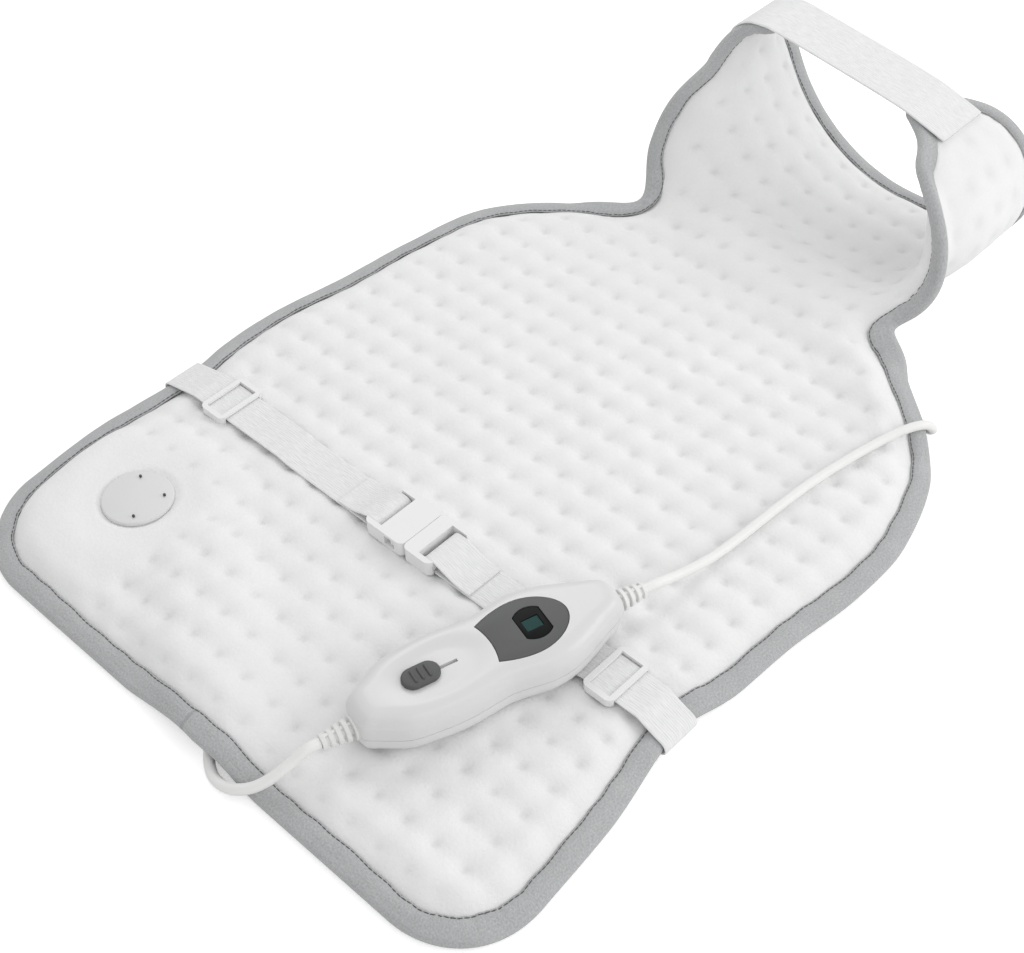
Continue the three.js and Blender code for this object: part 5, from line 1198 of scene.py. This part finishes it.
def window_outline(grow, steps=24):
    """Outline of the display window: a circle with two flats, anticlockwise."""
    radius, flat, middle = 0.01075 + grow, 0.00765 + grow, 0.102
    corner = math.asin(flat / radius)
    right = np.linspace(-corner, corner, steps)
    left = np.linspace(math.pi - corner, math.pi + corner, steps)
    return round_outline(0.0, middle, radius, np.concatenate([right, left]))


def cut_away(piece, *cutters):
    """Cuts closed bodies, given as points and faces in the controller's frame, out of a piece."""
    for vertices, faces in cutters:
        cutter_mesh = bpy.data.meshes.new("cutter")
        cutter_mesh.from_pydata([tuple(vertex) for vertex in vertices], [], faces)
        cutter = placed("cutter", cutter_mesh)
        cut = piece.modifiers.new("cut", "BOOLEAN")
        cut.operation = "DIFFERENCE"
        cut.solver = "EXACT"
        cut.object = cutter
        mesh = evaluated_mesh(piece.name, piece)
        piece.modifiers.remove(cut)
        piece.data = mesh
        bpy.data.objects.remove(cutter)
    return piece


def set_down(piece, angle=40.0):
    """Moves a piece made in the controller's frame to where the controller lies."""
    points = np.empty(len(piece.data.vertices) * 3)
    piece.data.vertices.foreach_get("co", points)
    piece.data.vertices.foreach_set("co", on_case(points.reshape(-1, 3)).ravel())
    piece.data.shade_smooth()
    return flat_where_flat(piece, angle)


def stadium(width, length, middle, steps=24):
    """Outline with two straight sides and two round ends, anticlockwise."""
    radius, straight = width / 2, length / 2 - width / 2
    turns = np.linspace(0, math.pi, steps)
    upper = np.column_stack([radius * np.cos(turns), middle + straight + radius * np.sin(turns)])
    lower = np.column_stack([-radius * np.cos(turns), middle - straight - radius * np.sin(turns)])
    return np.vstack([upper, lower])


def rectangle(x0, x1, y0, y1):
    return np.array([(x0, y0), (x1, y0), (x1, y1), (x0, y1)])


cut_away(
    upper_case,
    plain_slab(panel_outline(0.0), 0.0216, 0.0310),
    plain_slab(rectangle(-0.0010, 0.0010, 0.0312, 0.0584), 0.0196, 0.0310),
)
set_down(upper_case, 32.0)
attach(upper_case, "pad")
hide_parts("controller_upper_shell")

lower_rings = case_levels(smooth_levels([
    (1.0, 1.0, 0.0110), (1.0, 1.0, 0.0080), (0.985, 0.993, 0.0050), (0.930, 0.970, 0.0022),
    (0.800, 0.920, 0.0005), (0.550, 0.820, 0.0),
], 5) + [(0.02, 0.03, 0.0)], case_line)
lower_hollow = case_levels(smooth_levels([
    (0.915, 0.970, 0.0110), (0.915, 0.970, 0.0080), (0.830, 0.930, 0.0036), (0.650, 0.860, 0.0020),
], 3) + [(0.02, 0.03, 0.0020)], case_line)
lower_vertices, lower_faces = bowl(lower_rings, lower_hollow)
lower_faces = [face[::-1] for face in lower_faces]
lower_case = new_piece("controller_lower_case", lower_vertices, lower_faces, shell_gloss)
well_radius = 0.0026
well_turns = np.linspace(0, 2 * math.pi, 24, endpoint=False)
screw_wells = [
    plain_slab(round_outline(well_x, well_y, well_radius, well_turns), -0.0010, 0.0030)
    for well_x, well_y in [(0.0, 0.0132), (-0.015, 0.088), (0.015, 0.088), (0.0, 0.131)]
]
cut_away(lower_case, *screw_wells)
set_down(lower_case, 32.0)
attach(lower_case, "pad")
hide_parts("controller_lower_shell")


# Display: a smooth grey panel let into the case, a black window with two flats in it, and behind a
# clear field of the window a small teal liquid crystal display.
panel_paint = finished_material("panel_grey", moulded_finish, {
    "Colour": (0.100, 0.101, 0.103, 1.0), "Clouding": 0.10, "Cloud Size": 55.0,
    "Gloss": 0.42, "Grain Size": 2200.0,
}, 0.00001, [("Specular IOR Level", 0.3)])
window_black = finished_material("window_black", moulded_finish, {
    "Colour": (0.006, 0.0065, 0.007, 1.0), "Clouding": 0.2, "Gloss": 0.36, "Gloss Spread": 0.05,
}, 0.000001, [("Specular IOR Level", 0.08)])
lcd_glass = finished_material("lcd_glass", moulded_finish, {
    "Colour": (0.018, 0.058, 0.055, 1.0), "Clouding": 0.5, "Cloud Size": 260.0, "Gloss": 0.36,
}, 0.000001, [("Specular IOR Level", 0.08)])
panel_body = slab(panel_outline(fit_gap), 0.0249, 0.02695, 0.0005)
display_panel = new_piece("display_surround", *panel_body, panel_paint)
cut_away(display_panel, plain_slab(window_outline(0.0002), 0.0230, 0.0310))
window_body = slab(window_outline(0.0), 0.0247, 0.0267, 0.0005)
display_window = new_piece("display_glass", *window_body, window_black)
cut_away(display_window, plain_slab(rectangle(-0.0039, 0.0039, 0.0969, 0.1067), 0.0230, 0.0310))
lcd_body = plain_slab(rectangle(-0.0037, 0.0037, 0.0971, 0.1065), 0.0099, 0.0263)
lcd = new_piece("display_crystal", *lcd_body, lcd_glass)
for piece, node_name, finish_slot in [
    (display_panel, "display_panel", "panel_grey"),
    (display_window, "display_window", "window_black"),
    (lcd, "lcd_module", "lcd_teal"),
]:
    set_down(piece)
    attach(piece, "pad")
    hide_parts(node_name)


# Slide switch: a dark grey stadium-shaped knob with three grip ribs across it, on a stem through the
# case to its carriage and the switch body on the board.
knob_plastic = finished_material("knob_grey", moulded_finish, {
    "Colour": (0.100, 0.101, 0.103, 1.0), "Clouding": 0.08, "Gloss": 0.45, "Grain Size": 1800.0,
}, 0.00003, [("Specular IOR Level", 0.3)])
knob_middle = 0.0378
knob_low = 0.0259
knob_top = 0.0283
knob_rib_top = 0.0293


def joined(*bodies):
    """Several closed bodies, given as points and faces, as one list of points and faces."""
    vertices, faces, count = [], [], 0
    for body_vertices, body_faces in bodies:
        vertices.append(body_vertices)
        faces.extend([corner + count for corner in face] for face in body_faces)
        count += len(body_vertices)
    return np.vstack(vertices), faces


knob_ribs = []
for offset in (-0.004, 0.0, 0.004):
    grip = stadium(0.0016, 0.0082, 0.0)
    grip = np.column_stack([-grip[:, 1], grip[:, 0] + knob_middle + offset])
    knob_ribs.append(slab(grip, knob_top - 0.0004, knob_rib_top, 0.0007))
knob_stem = plain_slab(
    rectangle(-0.0008, 0.0008, knob_middle - 0.006, knob_middle + 0.006), 0.0236, knob_low + 0.001)
knob_cap = slab(stadium(0.013, 0.021, knob_middle), knob_low, knob_top, 0.0012)
knob = new_piece("switch_knob", *joined(knob_cap, *knob_ribs, knob_stem), knob_plastic)
set_down(knob, 50.0)
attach(knob, "switch_slider")
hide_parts("slide_knob")


# Inside the case: a circuit board on two rests, with the relay, the terminals and the switch body, and
# four steel screws from below. Nothing of it shows, so the CAD pieces stay, with their own finishes.
screw_steel = finished_material("screw_steel", moulded_finish, {
    "Colour": (0.55, 0.56, 0.58, 1.0), "Clouding": 0.2, "Gloss": 0.3,
}, 0.00001, [("Metallic", 1.0)])
board_green = finished_material("board_green", moulded_finish, {
    "Colour": (0.03, 0.15, 0.06, 1.0), "Clouding": 0.3, "Cloud Size": 200.0, "Gloss": 0.4,
}, 0.00001)
dark_plastic = finished_material("dark_plastic", moulded_finish, {
    "Colour": (0.015, 0.016, 0.018, 1.0), "Clouding": 0.2, "Gloss": 0.5,
}, 0.00002)
relay_blue = finished_material("relay_blue", moulded_finish, {
    "Colour": (0.02, 0.09, 0.26, 1.0), "Clouding": 0.15, "Gloss": 0.42,
}, 0.00002)
terminal_green = finished_material("terminal_green", moulded_finish, {
    "Colour": (0.08, 0.27, 0.07, 1.0), "Clouding": 0.15, "Gloss": 0.45,
}, 0.00002)
refinish(screw_steel, *[name for name in nodes if name.startswith("controller_screw")])
refinish(board_green, "circuit_board")
refinish(matte_plastic, "board_rest_1", "board_rest_2", "switch_carriage")
refinish(dark_plastic, "switch_body")
refinish(relay_blue, "power_relay")
refinish(terminal_green, "terminal_pad", "terminal_mains")


# Strain reliefs: soft white tapered sleeves moulded on both leads, with a flange against the case and
# four ribs joined by webs, so that each bends evenly.
relief_rubber = finished_material("relief_rubber", moulded_finish, {
    "Colour": (0.80, 0.80, 0.79, 1.0), "Clouding": 0.05, "Gloss": 0.5, "Grain Size": 1400.0,
}, 0.00003)


def turned(profile, sides=40):
    """Closed body turned about the controller's length from a profile of (radius, distance)."""
    turns = np.linspace(0, 2 * math.pi, sides, endpoint=False)
    rings = [
        np.column_stack([radius * np.cos(turns), np.full(sides, distance), radius * np.sin(turns)])
        for radius, distance in profile
    ]
    last = len(rings) - 1
    faces = [[a, d, c, b] for a, b, c, d in ring_faces(sides, zip(range(last), range(1, last + 1)))]
    faces.append(list(range(sides)))
    faces.append([last * sides + i for i in range(sides)][::-1])
    return np.vstack(rings), faces


def relief_bodies(core):
    """Neck, flange, core, ribs and webs of one relief, from the case outwards."""
    bodies = [turned([
        (0.0042, -0.0050), (0.0042, 0.0003), (0.0066, 0.0003), (0.0070, 0.0006), (0.0070, 0.0018),
        (0.0067, 0.0021), (core, 0.0022), (core, 0.0186), (core - 0.0004, 0.0190),
    ])]
    ribs, ribs_from, ribs_run = 4, 0.0024, 0.0166
    pitch = ribs_run / ribs
    for rib in range(ribs):
        low = ribs_from + rib * pitch + 0.40 * pitch
        high = ribs_from + (rib + 1) * pitch
        wide, narrow = (0.0064 - 0.0022 * (edge - ribs_from) / ribs_run for edge in (low, high))
        bodies.append(turned([
            (core - 0.0003, low), (wide - 0.0004, low), (wide, low + 0.0003),
            (narrow, high - 0.0003), (narrow - 0.0004, high), (core - 0.0003, high),
        ]))
    for side in (-1, 1):
        points, faces = slab(rectangle(-0.0009, 0.0009, 0.0018, 0.0180), core - 0.0005, 0.0044, 0.0002, 2)
        bodies.append((points * (1, 1, side), faces if side > 0 else [face[::-1] for face in faces]))
    return joined(*bodies)


for name, node_name, outward, core in [
    ("relief_pad_end", "strain_relief_pad", -1, 0.0034),
    ("relief_mains_end", "strain_relief_mains", 1, 0.0032),
]:
    points, faces = relief_bodies(core)
    if outward < 0:
        points = points * (-1, -1, 1)
    points = points + (0.0, 0.0 if outward < 0 else controller_length, relief_height)
    relief = new_piece(name, points, faces, relief_rubber)
    set_down(relief, 35.0)
    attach(relief, "pad")
    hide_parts(node_name)


# Coil tie and mains plug: a flat white strap round the put-away coil, and a two-pin plug with plated
# pins lying on it, its body moulded on the lead.
pin_nickel = finished_material("pin_nickel", moulded_finish, {
    "Colour": (0.62, 0.61, 0.58, 1.0), "Clouding": 0.1, "Gloss": 0.22,
}, 0.00001, [("Metallic", 1.0)])
refinish(pin_nickel, "plug_pin_1", "plug_pin_2")
refinish(lead_jacket, "mains_plug")
refinish(matte_plastic, "coil_tie")
